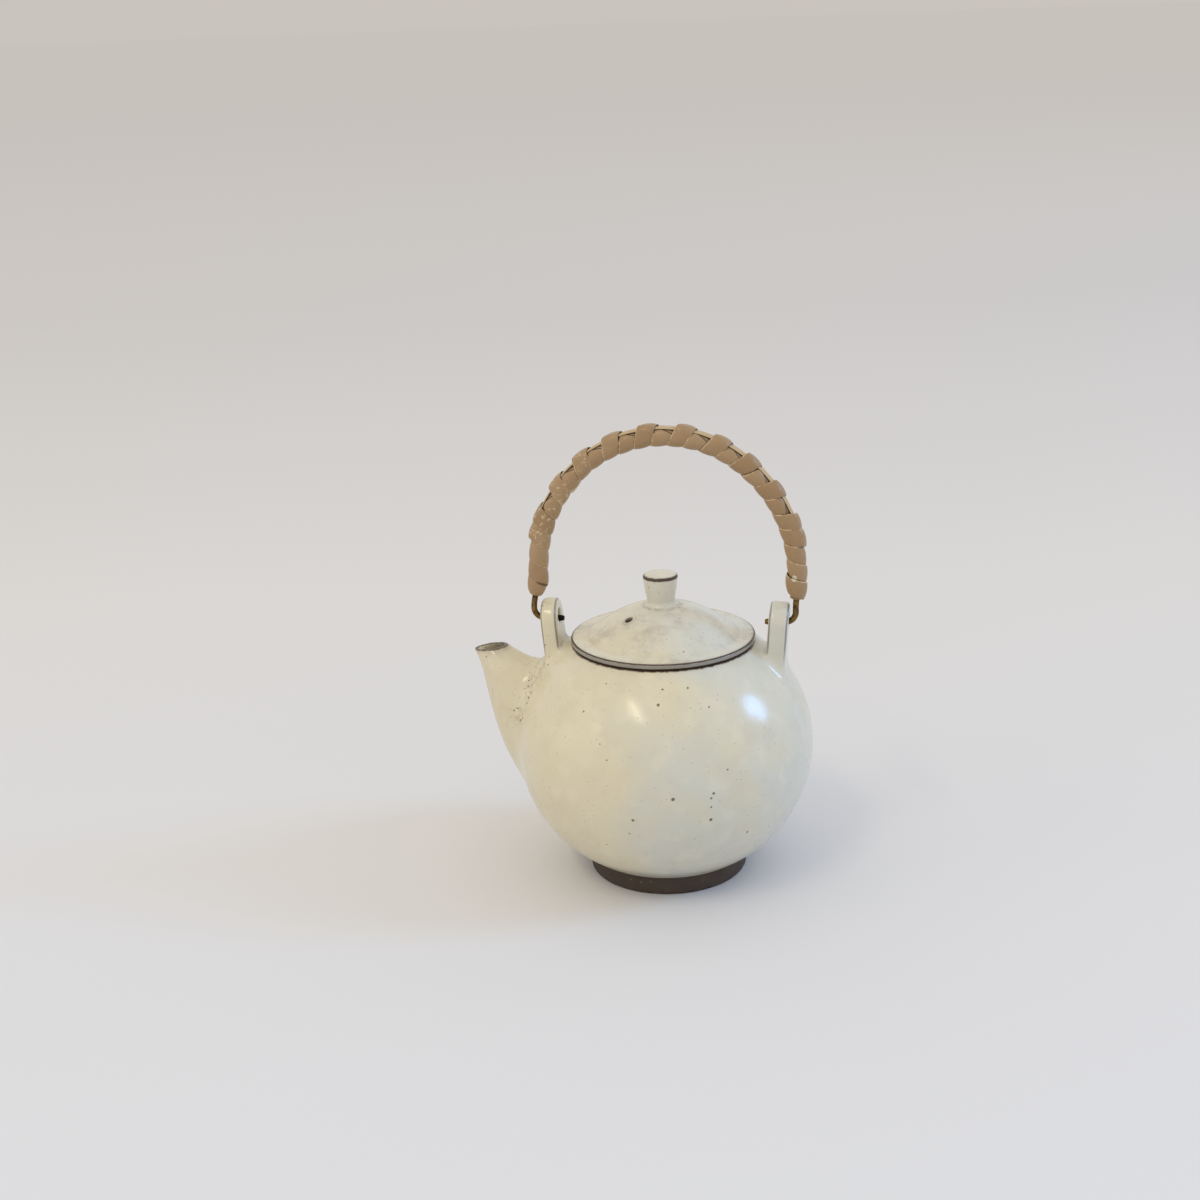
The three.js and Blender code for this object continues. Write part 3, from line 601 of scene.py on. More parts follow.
def put(tree, kind, inputs=None, output=0, **settings):
    """A new node with its settings and inputs, given back as one of its outputs."""
    made = tree.nodes.new(kind)
    for name, value in settings.items():
        setattr(made, name, value)
    fill(made, inputs or {})
    return Flow(made.outputs[output])


def tree_of(*values):
    return next(value.socket.id_data for value in values if isinstance(value, Flow))


def calc(operation, *values):
    return put(tree_of(*values), "ShaderNodeMath", dict(enumerate(values)), operation=operation)


def most(first, *others):
    """The largest of the values."""
    for other in others:
        first = calc("MAXIMUM", first, other)
    return first


def xyz(place):
    x = put(tree_of(place), "ShaderNodeSeparateXYZ", {0: place})
    return x, x.other(1), x.other(2)


def new_group(name, kind, output, inputs):
    """An empty node group with one output, and what its inputs put out."""
    group = bpy.data.node_groups.new(name, kind + "NodeTree")
    for label, socket, value in inputs:
        made = group.interface.new_socket(name=label, in_out="INPUT", socket_type="NodeSocket" + socket)
        if value is not None:
            made.default_value = value
    label, socket = output
    group.interface.new_socket(name=label, in_out="OUTPUT", socket_type="NodeSocket" + socket)
    return group, {socket.name: Flow(socket) for socket in group.nodes.new("NodeGroupInput").outputs}


def finished(group, result):
    fill(group.nodes.new("NodeGroupOutput"), {0: result})
    return group


# %% [markdown]
# ## Sweeping a section along a path
# One Geometry Nodes group sweeps a flat, crowned section along any path. The path is a chain of points that
# carry an outward direction and a girth. The section starts as a circle and is squared off, flattened and
# crowned. Two marks stay on its points for the materials: how far across the section they lie, and how far
# up.
# Known fault: the faces of a swept piece point inwards.

# %% The sweeping group
def swept_section():
    group, given = new_group("Swept section", "Geometry", ("Geometry", "Geometry"), [
        ("Geometry", "Geometry", None), ("Width", "Float", 0.008), ("Thickness", "Float", 0.0007),
        ("Crown", "Float", 0.0003), ("Squareness", "Float", 0.35), ("Section points", "Int", 20),
        ("Material", "Material", None),
    ])
    circle = {"Resolution": given["Section points"], "Radius": 1.0}
    section = put(group, "GeometryNodeCurvePrimitiveCircle", circle)
    x, y, _ = xyz(put(group, "GeometryNodeInputPosition"))
    across = calc("SIGN", x) * calc("POWER", abs(x), most(given["Squareness"], 0.7))
    lift = calc("SIGN", y) * calc("POWER", abs(y), given["Squareness"])
    height = lift * (given["Thickness"] * 0.5) + (1.0 - across * across) * given["Crown"]
    width = across * (given["Width"] * 0.5)
    for label, value in (("across", across), ("lift", lift)):
        marked = {"Geometry": section, "Name": label, "Value": value}
        section = put(group, "GeometryNodeStoreNamedAttribute", marked, data_type="FLOAT", domain="POINT")
    moved = put(group, "ShaderNodeCombineXYZ", {0: height, 1: width})
    section = put(group, "GeometryNodeSetPosition", {"Geometry": section, "Position": moved})
    outward = put(group, "GeometryNodeInputNamedAttribute", {"Name": "outward"}, data_type="FLOAT_VECTOR")
    girth = put(group, "GeometryNodeInputNamedAttribute", {"Name": "girth"}, data_type="FLOAT")
    path = put(group, "GeometryNodeMeshToCurve", {"Mesh": given["Geometry"]})
    path = put(group, "GeometryNodeSetCurveNormal", {"Curve": path, "Normal": outward}, mode="FREE")
    swept = {"Curve": path, "Profile Curve": section, "Scale": girth, "Fill Caps": True}
    real = put(group, "GeometryNodeRealizeInstances", {0: put(group, "GeometryNodeCurveToMesh", swept)})
    dressed = put(group, "GeometryNodeSetMaterial", {"Geometry": real, "Material": given["Material"]})
    return finished(group, dressed)


SWEPT_SECTION = swept_section()


def sweep(name, points, outward, girth, material, marks=None, **values):
    """A piece made by sweeping a section along points, in millimetres, with extra marks on each point."""
    path = bpy.data.meshes.new(name + "_path")
    path.from_pydata((points * MM).tolist(), [(i, i + 1) for i in range(len(points) - 1)], [])
    directions = path.attributes.new("outward", "FLOAT_VECTOR", "POINT")
    directions.data.foreach_set("vector", outward.astype(np.float32).ravel())
    mark(path, {"girth": girth} | (marks or {}))
    obj = link(bpy.data.objects.new(name, path))
    grow = obj.modifiers.new("Sweep", "NODES")
    grow.node_group = SWEPT_SECTION
    values = {label.replace("_", " "): value for label, value in values.items()} | {"Material": material}
    for item in SWEPT_SECTION.interface.items_tree:
        if item.in_out == "INPUT" and item.name in values:
            grow[item.identifier] = values[item.name]
    flatten(obj)
    obj.data.shade_smooth()
    box = np.array([v.co for v in obj.data.vertices])
    print(f"{name}: {len(obj.data.polygons)} faces, box {box.min(0) / MM} to {box.max(0) / MM}")
    return obj


# %% [markdown]
# ## Materials
# Small node groups give the masks that several finishes share: iron specks, broken edges and soft waves.
# Each finish then mixes its colours from them inside its own Principled shader.

# %% Nodes that finishes use
def srgb(red, green, blue):
    """A colour written in 0 to 255, as the linear colour that Blender mixes."""
    parts = [part / 255 for part in (red, green, blue)]
    return (*[c / 12.92 if c <= 0.04045 else ((c + 0.055) / 1.055) ** 2.4 for c in parts], 1.0)


def noise(place, scale, detail=3.0, roughness=0.5):
    inputs = {"Vector": place, "Scale": scale, "Detail": detail, "Roughness": roughness}
    return put(tree_of(place), "ShaderNodeTexNoise", inputs, "Fac")


def ramp(value, low, high):
    """0 below low and 1 above high, smooth between them. With low above high it falls instead."""
    inputs = {"Value": value, "From Min": low, "From Max": high}
    return put(tree_of(value), "ShaderNodeMapRange", inputs, "Result", interpolation_type="SMOOTHSTEP")


def between(value, low, high, soft=0.15):
    """1 where the value lies between two limits."""
    return ramp(value, low - soft, low + soft) * ramp(value, high + soft, high - soft)


def mix(share, first, second):
    return put(tree_of(share), "ShaderNodeMix", {0: share, 6: first, 7: second}, 2, data_type="RGBA")


def attribute(tree, name):
    return put(tree, "ShaderNodeAttribute", output="Fac", attribute_name=name)


def millimetres(tree):
    """The point's place on the piece, in millimetres."""
    place = put(tree, "ShaderNodeTexCoord", output="Object")
    return put(tree, "ShaderNodeVectorMath", {0: place, "Scale": 1000.0}, operation="SCALE")


def distance(place, centre):
    return put(tree_of(place), "ShaderNodeVectorMath", {0: place, 1: centre}, "Value", operation="DISTANCE")


def length_of(a, b):
    return calc("SQRT", a * a + b * b)


def from_axis(place):
    """The place counted from the pot's axis: x, y, z and reach."""
    x, y, z = xyz(place)
    x = x - AXIS_X
    return x, y, z, length_of(x, y)


def bump(height):
    """The normal of a surface with this height, in millimetres."""
    return put(tree_of(height), "ShaderNodeBump", {"Height": height, "Strength": 1.0, "Distance": MM})


def finish_of(name):
    """A new material with its tree and its Principled shader."""
    material = bpy.data.materials.new(name)
    material.use_nodes = True
    return material, material.node_tree, material.node_tree.nodes["Principled BSDF"]


# %% [markdown]
# ## Masks as node groups
# Each mask is a group with named inputs, built once. A finish places it with values of its own.

# %% Shared masks
def specks_group():
    """Round iron specks of mixed size: one to a cell, and only in a share of the cells."""
    group, given = new_group("Iron specks", "Shader", ("Mask", "Float"), [
        ("Vector", "Vector", None), ("Cell", "Float", 4.0), ("Radius", "Float", 0.3), ("Share", "Float", 0.5),
    ])
    cells = put(group, "ShaderNodeTexVoronoi", {"Vector": given["Vector"], "Scale": 1.0 / given["Cell"]},
                "Distance", voronoi_dimensions="3D")
    random = put(group, "ShaderNodeSeparateColor", {0: cells.other("Color")})
    size = given["Radius"] * (0.35 + random)
    spot = ramp(cells * given["Cell"], size, size * 0.45)
    return finished(group, spot * calc("LESS_THAN", random.other(1), given["Share"]))


def broken_edge_group():
    """1 where the glaze has run thin over a sharp edge, broken up by noise."""
    group, given = new_group("Broken edge", "Shader", ("Mask", "Float"), [
        ("Vector", "Vector", None), ("Edge", "Float", 0.0), ("Low", "Float", 0.15), ("High", "Float", 0.3),
    ])
    shifted = given["Edge"] + (noise(given["Vector"], 0.35, 4.0, 0.6) - 0.5) * 0.18
    return finished(group, ramp(shifted, given["Low"], given["High"]))


def waves_group():
    """Height of a hand-worked surface, in millimetres: slow waves and a fine orange peel."""
    group, given = new_group("Soft waves", "Shader", ("Height", "Float"), [
        ("Vector", "Vector", None), ("Slow", "Float", 0.1), ("Fine", "Float", 0.01),
    ])
    slow = noise(given["Vector"], 0.05, 2.0) * given["Slow"]
    return finished(group, slow + noise(given["Vector"], 0.9, 2.0) * given["Fine"])


IRON_SPECKS = specks_group()
BROKEN_EDGE = broken_edge_group()
SOFT_WAVES = waves_group()


def use(group, **inputs):
    """What a shared group puts out."""
    return put(tree_of(*inputs.values()), "ShaderNodeGroup", inputs, node_tree=group)


print("shared groups:", ", ".join(group.name for group in (IRON_SPECKS, BROKEN_EDGE, SOFT_WAVES)))

# %% [markdown]
# ## Lines where the glaze is thin
# Thin glaze shows the dark clay under it. It is thin at the pot's rim, round the spout's mouth and the
# vent, round the lid's flat edge, on the knob's arris and at its foot, and along the lugs' corners. The
# rim's line also carries painted shadow from the lid's overhang. Each line is found from the point's place
# on the piece.

# %% Masks that follow the shape
def lug_lines(x, y, z):
    """1 along the rounded corners of both lugs."""
    lines = 0.0
    for side, thickness in LUGS.items():
        lean, centre = lug_place(side)
        out, rise = x - centre, z - HOLE_Z
        across = out * math.cos(lean) - rise * math.sin(lean)
        up = out * math.sin(lean) + rise * math.cos(lean)
        face = abs(across) - (thickness / 2 - 0.45)
        outline = length_of(y, most(up - LUG_ARCH, 0.0)) - (LUG_HALF_WIDTH - 0.55)
        lines = most(lines, ramp(most(abs(face), abs(outline)), 0.6, 0.25) * ramp(up, -20.0, -8.0))
    return lines


def pot_lines(place, ragged):
    """Strength of the brown lines and of the grey ones on the pot. The rim's line also holds painted shadow.
    """
    x, y, z, reach = from_axis(place)
    height = z + ragged * 0.9
    # The rim line is partly iron where the glaze thins at the rim and partly painted shadow under the lid's
    # overhang.
    rim = ramp(height, RIM_Z - 1.0, RIM_Z - 0.5) * ramp(reach, 41.5, 41.0)
    foot = ramp(height, FOOT_TOP + 0.9, FOOT_TOP + 0.4)
    grey = lug_lines(x, y, z) * ramp(ragged, -0.4, -0.1)
    lip_x, lip_z = SPOUT_LIP[0] - BEAK, SPOUT_LIP[1]
    run, rise = SPOUT_BACK[0] - lip_x, SPOUT_BACK[1] - lip_z
    length = math.hypot(run, rise)
    over = (z - lip_z) * (run / length) - (x - lip_x) * (rise / length) + ragged * 1.2
    mouth = ramp(over, -1.0, -0.55) * ramp(x, SPOUT_BACK[0] + 3.5, SPOUT_BACK[0] + 2.0)
    fading = {"Value": x, "From Min": lip_x, "From Max": lip_x + 6, "To Min": 1.0, "To Max": 0.8}
    mouth = mouth * put(tree_of(x), "ShaderNodeMapRange", fading, "Result")
    return most(rim, foot, mouth), grey * 0.75


def lid_lines(place, ragged):
    """The same for the lid. Its flat edge is brown along both arrises and grey between them."""
    x, y, z, reach = from_axis(place)
    height = z + ragged * 0.8
    outer = ramp(reach, 39.0, 39.4)
    arrises = most(between(height, LID_Z + 1.95, LID_Z + 2.45, 0.14), ramp(height, LID_Z + 0.5, LID_Z + 0.2))
    side = outer * (ramp(height, LID_Z + 2.4, LID_Z + 2.0) * 0.62)
    halo = ramp(reach, 36.8, 39.6) * 0.45
    knob_top = between(height, KNOB_TOP - 1.95, KNOB_TOP - 0.6, 0.25) * ramp(reach, 6.2, 6.7)
    knob_foot = between(height, KNOB_Z - 0.9, KNOB_Z + 0.1, 0.3) * ramp(reach, 9.5, 8.5)
    knob_foot = knob_foot * (ramp(ragged, -0.15, 0.15) * 0.4)
    vent = length_of(x - VENT_X, y - VENT_Y)
    hole = ramp(vent, 1.95, 1.45) * calc("LESS_THAN", z, LID_Z + 14.0)
    round_vent = between(vent, 2.75, 3.05, 0.2)
    brown = most(outer * arrises, knob_top, knob_foot, hole * 0.85, round_vent * 0.3)
    return brown, most(side, halo * ramp(ragged, -0.1, 0.2))


# %% [markdown]
# ## The glaze
# Cream glaze over iron-bearing clay: warm and cool drifts, with painted light that tints the left side warm
# and the right side cool, small brown specks, a few larger spots, grey-mauve clouds on the lid, pinholes in
# the crease round the spout's root, and the lines of thin glaze, the rim's line with painted shadow.

# %% Colours and spots
WARM_CREAM = (215, 206, 179)
COOL_CREAM = (205, 205, 194)
YELLOW_CREAM = (214, 201, 166)
PALE_CREAM = (236, 228, 208)
CLOUD = (168, 154, 144)
STAIN = (150, 138, 116)
SPECK = (88, 68, 50)
BLUSH = (150, 140, 128)
GREY_LINE = (108, 107, 106)
IRON = (70, 50, 38)
# Larger spots on the belly: bearing in degrees from +X, height in millimetres, radius in millimetres.
LARGE_SPOTS = [
    (-85, 95, 0.75), (-83, 100, 0.5), (-70, 100, 0.5), (-62, 93, 0.45), (-80, 59, 0.9), (-65, 60, 0.7),
    (-66, 58, 0.5), (-95, 49, 0.7), (-66, 48, 0.85), (-66, 54, 0.45), (-49, 37, 0.6), (-120, 90, 0.5),
    (-105, 74, 0.4), (-59, 69, 0.4), (-97, 42, 0.35),
]


def belly_spot(bearing, height, radius):
    """Place of a spot on the belly, in the frame's millimetres."""
    reach = BELLY_RADIUS * math.sqrt(1 - ((height - BELLY_Z) / BELLY_HALF_HEIGHT) ** 2)
    angle = math.radians(bearing)
    return (AXIS_X + reach * math.cos(angle), reach * math.sin(angle), height), radius


# %% [markdown]
# ## Laying the glaze
# The colours are laid one over the other, from the cream up to the iron. Specks and pinholes also make small
# dents, and bare iron is less glossy than the glaze.

# %% Make the glaze
def make_glaze(name, clouds, spots, lines, creased):
    material, tree, shader = finish_of(name)
    place = millimetres(tree)
    edge = attribute(tree, "edge")
    x, _, z = xyz(place)
    # Painted light: the x term tints the left side warm, as the lamp does, and the right side cool, as the
    # window does, on top of the glaze's own noisy drift.
    drift_and_painted_light_tint = noise(place, 0.018, 2.0, 0.5) + (x * 0.0038 - 0.06)
    cream = mix(ramp(drift_and_painted_light_tint, 0.36, 0.64), srgb(*WARM_CREAM), srgb(*COOL_CREAM))
    cream = mix(ramp(noise(place, 0.035, 2.0), 0.5, 0.75) * 0.4, cream, srgb(*YELLOW_CREAM))
    cream = mix(ramp(noise(place, 0.12, 3.0), 0.5, 0.7) * 0.16, cream, srgb(*PALE_CREAM))
    cream = mix(ramp(noise(place, 0.085, 5.0, 0.62), 0.44, 0.74) * clouds, cream, srgb(*CLOUD))
    small = use(IRON_SPECKS, Vector=place, Cell=2.1, Radius=0.26, Share=0.75)
    larger = use(IRON_SPECKS, Vector=place, Cell=7.5, Radius=0.42, Share=0.6)
    marks = most(small * 0.55, larger * 0.75)
    ragged = noise(place, 1.6, 2.0)
    for centre, radius in spots:
        away = distance(place, centre) + ragged * 0.5
        marks = most(marks, ramp(away, radius + 0.4, radius * 0.5 + 0.2) * 0.9)
    pits = 0.0
    if creased:
        crease = attribute(tree, "crease")
        high = ramp(z, 66.0, 76.0)
        stain = ramp(crease, 5.0, 0.5) * (high * 0.45) * ramp(noise(place, 0.45, 5.0, 0.7), 0.42, 0.62)
        cream = mix(stain, cream, srgb(*STAIN))
        pits = use(IRON_SPECKS, Vector=place, Cell=1.7, Radius=0.5, Share=0.6)
        pits = pits * (ramp(crease, 8.0, 3.0) * high)
        marks = most(marks, pits * 0.95)
    cream = mix(marks, cream, srgb(*SPECK))
    cream = mix(use(BROKEN_EDGE, Vector=place, Edge=edge, Low=0.3, High=0.6) * 0.5, cream, srgb(*BLUSH))
    brown, grey = lines(place, noise(place, 0.5, 4.0, 0.65) - 0.5)
    cream = mix(grey, cream, srgb(*GREY_LINE))
    iron = most(use(BROKEN_EDGE, Vector=place, Edge=edge, Low=0.62, High=0.85), brown)
    waves = use(SOFT_WAVES, Vector=place, Slow=0.35, Fine=0.02)
    fill(shader, {
        "Base Color": mix(iron, cream, srgb(*IRON)),
        "Normal": bump(waves - most(marks, pits * 4.0) * 0.05),
        "Roughness": noise(place, 0.2, 3.0) * 0.11 + 0.13 + iron * 0.2,
        "IOR": 1.5,
    })
    return material


pot.data.materials.append(
    make_glaze("Cream glaze", 0.12, [belly_spot(*spot) for spot in LARGE_SPOTS], pot_lines, True)
)
lid.data.materials.append(make_glaze("Cream glaze, clouded", 0.55, [], lid_lines, False))
print("large spots on the belly:", len(LARGE_SPOTS))

# %% [markdown]
# ## Clay, brass, padding, tape and cane
# The foot is dark clay with pale grit. The wire is brass that has gone dull. The tape is smooth and a
# little glossy, with pale cut edges, and the cane strip under it is paler and shows its fibres.

# %% Make clay and brass
def make_clay():
    material, tree, shader = finish_of("Bare clay")
    place = millimetres(tree)
    clay = mix(noise(place, 0.15, 5.0, 0.65), srgb(50, 41, 34), srgb(80, 67, 56))
    grit = use(IRON_SPECKS, Vector=place, Cell=2.2, Radius=0.34, Share=0.5)
    fill(shader, {
        "Base Color": mix(grit * 0.7, clay, srgb(158, 143, 124)),
        "Normal": bump(noise(place, 1.6, 4.0, 0.7) * 0.18 + grit * 0.1),
        "Roughness": 0.82,
    })
    return material


def make_brass():
    """Dull brass, with painted shade that makes the front end of the wire black inside its lug."""
    material, tree, shader = finish_of("Dull brass")
    place = millimetres(tree)
    tarnish = ramp(noise(place, 0.5, 5.0, 0.7), 0.35, 0.7)
    x, _, z, reach = from_axis(place)
    # Painted shade: where the wire leaves the front lug's inner face it is black, as if in the shade of the
    # hole.
    end = ramp(reach, 48.0, 46.5) * ramp(z, HINGE_Z + 4.0, HINGE_Z + 2.0) * ramp(x, 0.0, -10.0)
    fill(shader, {
        "Base Color": mix(end, mix(tarnish, srgb(142, 112, 62), srgb(62, 48, 34)), srgb(26, 22, 20)),
        "Roughness": tarnish * 0.35 + 0.28,
        "Normal": bump(noise(place, 2.5, 3.0) * 0.03),
        "Metallic": 0.9,
    })
    return material


# %% [markdown]
# ## Tape, cane and paper
# These follow the piece and not the room, so they read attributes that the sweep has left: the turn, the place
# across the section and whether the strip lies over it.

# %% Make tape, cane and padding
GLUE_DROP = (57.1 + AXIS_X, -4.3, 135.4)


def make_tape():
    """Tan tape, with painted shade in the slits between turns, below the strip's edges and at its corners.
    A point knows its turn, its place across the tape and whether the strip lies over it.
    """
    material, tree, shader = finish_of("Tan tape")
    place = millimetres(tree)
    across, turn, under = (attribute(tree, name) for name in ("across", "turn", "under"))
    off = abs((calc("FRACT", turn) - 0.5) * 360.0)
    band = put(tree, "ShaderNodeTexWhiteNoise", {"W": calc("FLOOR", turn)}, "Value", noise_dimensions="1D")
    cloth = mix(band, srgb(158, 127, 90), srgb(171, 142, 105))
    cloth = mix(noise(place, 0.3, 5.0, 0.6) * 0.5, cloth, srgb(138, 108, 76))
    worn = ramp(noise(place, 0.45, 4.0, 0.65), 0.55, 0.63) * (ramp(turn, 2.0, 3.0) * ramp(turn, 9.5, 8.0))
    cloth = mix(worn * 0.6, cloth, srgb(216, 196, 160))
    drop = distance(place, GLUE_DROP) + noise(place, 0.9, 3.0) * 1.2
    glue = most(between(turn, 6.9, 7.06, 0.02), ramp(drop, 2.1, 1.6))
    cloth = mix(glue, cloth, srgb(206, 203, 180))
    second = between(turn, 0.95, 1.6, 0.03)
    cut = between(across, -0.995, -0.93, 0.01) * ramp(noise(place, 0.7, 3.0), 0.3, 0.6) * (1.0 - second)
    cloth = mix(cut * 0.75, cloth, srgb(222, 202, 166))
    # Painted shade: a dark line in the slit along one edge of each turn and along the other edge of the second
    # turn, a line just below the strip's edges on the turns under it, and the corners next to the strip.
    slit_shade = most(ramp(across, 0.955, 0.985), second * ramp(across, -0.7, -0.82))
    covered = ramp(under, 0.6, 0.9)
    shade_below_strip = between(off, 38.0, 45.0, 3.0) * covered
    corner = ramp(across, -0.72, -0.9) * ramp(off, 60.0, 44.0) * covered
    dark = most(slit_shade * 0.8, shade_below_strip, corner)
    fill(shader, {
        "Base Color": mix(dark * 0.9, cloth, srgb(44, 30, 20)),
        "Roughness": noise(place, 0.8, 3.0) * 0.18 + 0.26,
        "Normal": bump(noise(place, 0.5, 3.0) * 0.25 + noise(place, 4.0, 2.0) * 0.012),
    })
    return material


def make_cane():
    """Pale cane with fibres along it, and painted shade along the lower half of its side edges."""
    material, tree, shader = finish_of("Pale cane")
    across = attribute(tree, "across")
    fibres = put(tree, "ShaderNodeTexNoise", {"W": across * 14.0}, "Fac", noise_dimensions="1D")
    cane = mix(fibres, srgb(184, 156, 112), srgb(208, 183, 140))
    cane = mix(noise(millimetres(tree), 0.25, 4.0) * 0.35, cane, srgb(164, 134, 92))
    # Painted shade: the lower half of the strip's side edges is dark, as if the gap over the tape below were
    # in shadow.
    side = ramp(abs(across), 0.93, 0.985) * ramp(attribute(tree, "lift"), 0.25, -0.05)
    fill(shader, {
        "Base Color": mix(side, cane, srgb(52, 36, 24)),
        "Normal": bump(fibres * 0.06),
        "Roughness": 0.42,
    })
    return material


def make_padding():
    """Dark paper, and tan near the handle's ends."""
    material, tree, shader = finish_of("Paper padding")
    place = millimetres(tree)
    paper = mix(noise(place, 0.6, 4.0), srgb(92, 72, 50), srgb(128, 104, 76))
    fill(shader, {
        "Base Color": mix(ramp(xyz(place)[2], WRAP_Z + 5, WRAP_Z + 3), paper, srgb(150, 120, 86)),
        "Normal": bump(noise(place, 2.0, 3.0) * 0.15),
        "Roughness": 0.9,
    })
    return material


bare_clay, brass = make_clay(), make_brass()
tan_tape, pale_cane, padding = make_tape(), make_cane(), make_padding()
foot.data.materials.append(bare_clay)
print("finishes:", len(bpy.data.materials))

# %% [markdown]
# ## The wire
# The wire pokes a little way out of each lug, and each end narrows a little to a flat cap.

# %% Sweep the wire
WIRE_END = 43.8
WIRE_WIDTH = 2.6
pin = LEG_REACH - WIRE_BEND - WIRE_END
run_in = [(BAIL_MIDDLE - (WIRE_END + pin * i / 8), HINGE_Z) for i in range(8)]
bend = [
    (BAIL_MIDDLE - (LEG_REACH - WIRE_BEND + WIRE_BEND * math.sin(a)), HINGE_Z + WIRE_BEND * (1 - math.cos(a)))
    for a in np.linspace(0, math.pi / 2, 12)
]
front = run_in + bend[:-1]
over = [tuple(point) for point in bail_points(HINGE_Z + WIRE_BEND, 220)]
rear = [(2 * BAIL_MIDDLE - x, z) for x, z in reversed(front)]
wire_line = np.array(front + over + rear)
wire_points = np.stack([wire_line[:, 0] + AXIS_X, np.zeros(len(wire_line)), wire_line[:, 1]], 1)
tangent = np.gradient(wire_points, axis=0)
tangent /= np.linalg.norm(tangent, axis=1, keepdims=True)
wire_out = np.stack([-tangent[:, 2], np.zeros(len(tangent)), tangent[:, 0]], 1)
wire_girth = np.ones(len(wire_points))
wire_girth[0] = wire_girth[-1] = 0.72
wire = sweep(
    "brass_wire", wire_points, wire_out, wire_girth, brass,
    Width=WIRE_WIDTH * MM, Thickness=WIRE_WIDTH * MM, Crown=0.0, Squareness=1.0, Section_points=20,
)

# %% [markdown]
# ## The winding
# The tape starts at the spout's end and climbs the handle in a spiral. Each turn takes one pitch of its
# length. In the middle every other turn passes over the cane strip, and the turns between pass under it, so
# the strip shows there like a row of windows, and a turn under it is pressed in a little. Near both ends
# the turns cover the strip. The first turn lies nearly level and hugs the handle's end, and the turns sway
# and lean unevenly.

# %% Where the turns lie
CAD_TAPE = 6.2  # width of the CAD's tape, which sets the pitch
BANDS = 27
PITCH = (HANDLE_LENGTH - CAD_TAPE) / (BANDS - 0.5)
END_TURNS = 3  # at each end, outside the strip's ends
COVERED_TURNS = 5  # at each end, before the first window
TAPE_REACH = 3.3
TAPE_WIDTH = 7.75
STRIP_BOTTOM = 3.0
STRIP_TOP = 4.1
STRIP_HALF = 2.6
SEAM = 7  # turns of the first tape


def passes_over(turn):
    if turn < END_TURNS or turn >= BANDS - END_TURNS:
        return False
    if turn < COVERED_TURNS or turn >= BANDS - COVERED_TURNS:
        return True
    return (turn - COVERED_TURNS) % 2 == 1


def passes_under(turn):
    return COVERED_TURNS <= turn < BANDS - COVERED_TURNS and not passes_over(turn)


over_top = STRIP_TOP + 0.48
over_side = STRIP_HALF + 0.3
corner_angle = math.atan2(over_side, over_top)
leave_angle = corner_angle + math.acos(TAPE_REACH / math.hypot(over_side, over_top))


def tape_reach(turn, angle):
    """How far the tape's middle is from the handle's line, at an angle from the outside."""
    off = abs(angle)
    if passes_under(turn):
        return TAPE_REACH - 0.5 * math.exp(-((off / 0.6) ** 2))
    if not passes_over(turn) or off > leave_angle:
        return TAPE_REACH
    return over_top / math.cos(off) if off < corner_angle else TAPE_REACH / math.cos(leave_angle - off)


print(f"pitch {PITCH:.2f} mm, {sum(passes_over(t) for t in range(BANDS))} turns pass over the strip")


# %% [markdown]
# ## Winding the tapes
# Each tape is one unbroken path. It is slightly uneven, as hand winding is, and its loose ends lift a little.

# %% Wind the tapes
def smooth_step(value, start, end):
    share = np.clip((value - start) / (end - start), 0, 1)
    return share * share * (3 - 2 * share)


def tape_path(first, last, steps_per_turn=48):
    """Points, outward directions, girth and marks of a tape between two turn counts."""
    turns = np.linspace(first, last, int((last - first) * steps_per_turn) + 1)
    index = np.minimum(turns.astype(int), BANDS - 1)
    angles = (turns - index - 0.5) * 2 * math.pi
    first_band = 1 - smooth_step(turns, 0.55, 1.0)
    last_band = smooth_step(turns, BANDS - 1.3, BANDS - 1.0)
    loose_end = smooth_step(turns, last - 0.07, last) + 1 - smooth_step(turns, first, first + 0.06)
    loose_end = loose_end * (np.abs(turns - SEAM) < 0.3)
    sway = 0.2 * np.sin(2.31 * turns + 0.4) + 0.15 * np.sin(3.97 * turns)
    level_start = 1.2 * turns * np.exp(-turns / 0.75)
    run = CAD_TAPE / 2 + PITCH * np.maximum(turns - level_start, 0)
    place, along, out = handle_frame(run + sway * (1 - first_band) + 1.2 * first_band + 0.2 * last_band)
    reach = np.array([tape_reach(i, a) for i, a in zip(index, angles)])
    reach = np.convolve(np.pad(reach, 3, mode="edge"), np.array([1, 2, 3, 4, 3, 2, 1]) / 16, mode="valid")
    reach += 0.07 * np.sin(5.3 * turns + 1) - 0.05 * first_band + 0.35 * last_band + 0.45 * loose_end
    radial = out * np.cos(angles)[:, None] + np.array([0, 1, 0]) * np.sin(angles)[:, None]
    lean = 0.085 + 0.035 * np.sin(1.7 * turns + 1) - 0.2 * first_band
    outward = radial + along * lean[:, None]
    shift = np.array([-0.4, 0, 0]) * (first_band + last_band)[:, None]
    marks = {"turn": turns, "under": [float(passes_under(i)) for i in index]}
    outward /= np.linalg.norm(outward, axis=1, keepdims=True)
    girth = 1 + 0.05 * first_band + 0.12 * np.exp(-((turns - 1.7) ** 2))
    return place + radial * reach[:, None] + shift, outward, girth, marks


windings = []
for name, first, last in (("front_winding", 0.0, SEAM - 0.02), ("rear_winding", SEAM + 0.04, BANDS - 0.5)):
    points, outward, girth, marks = tape_path(first, last)
    windings.append(sweep(
        name, points, outward, girth, tan_tape, marks,
        Width=TAPE_WIDTH * MM, Thickness=0.62 * MM, Crown=0.68 * MM, Squareness=0.35, Section_points=28,
    ))

# %% [markdown]
# ## The cane strip
# The strip lies on the outside of the arch. It sinks a little between the turns that hold it down.

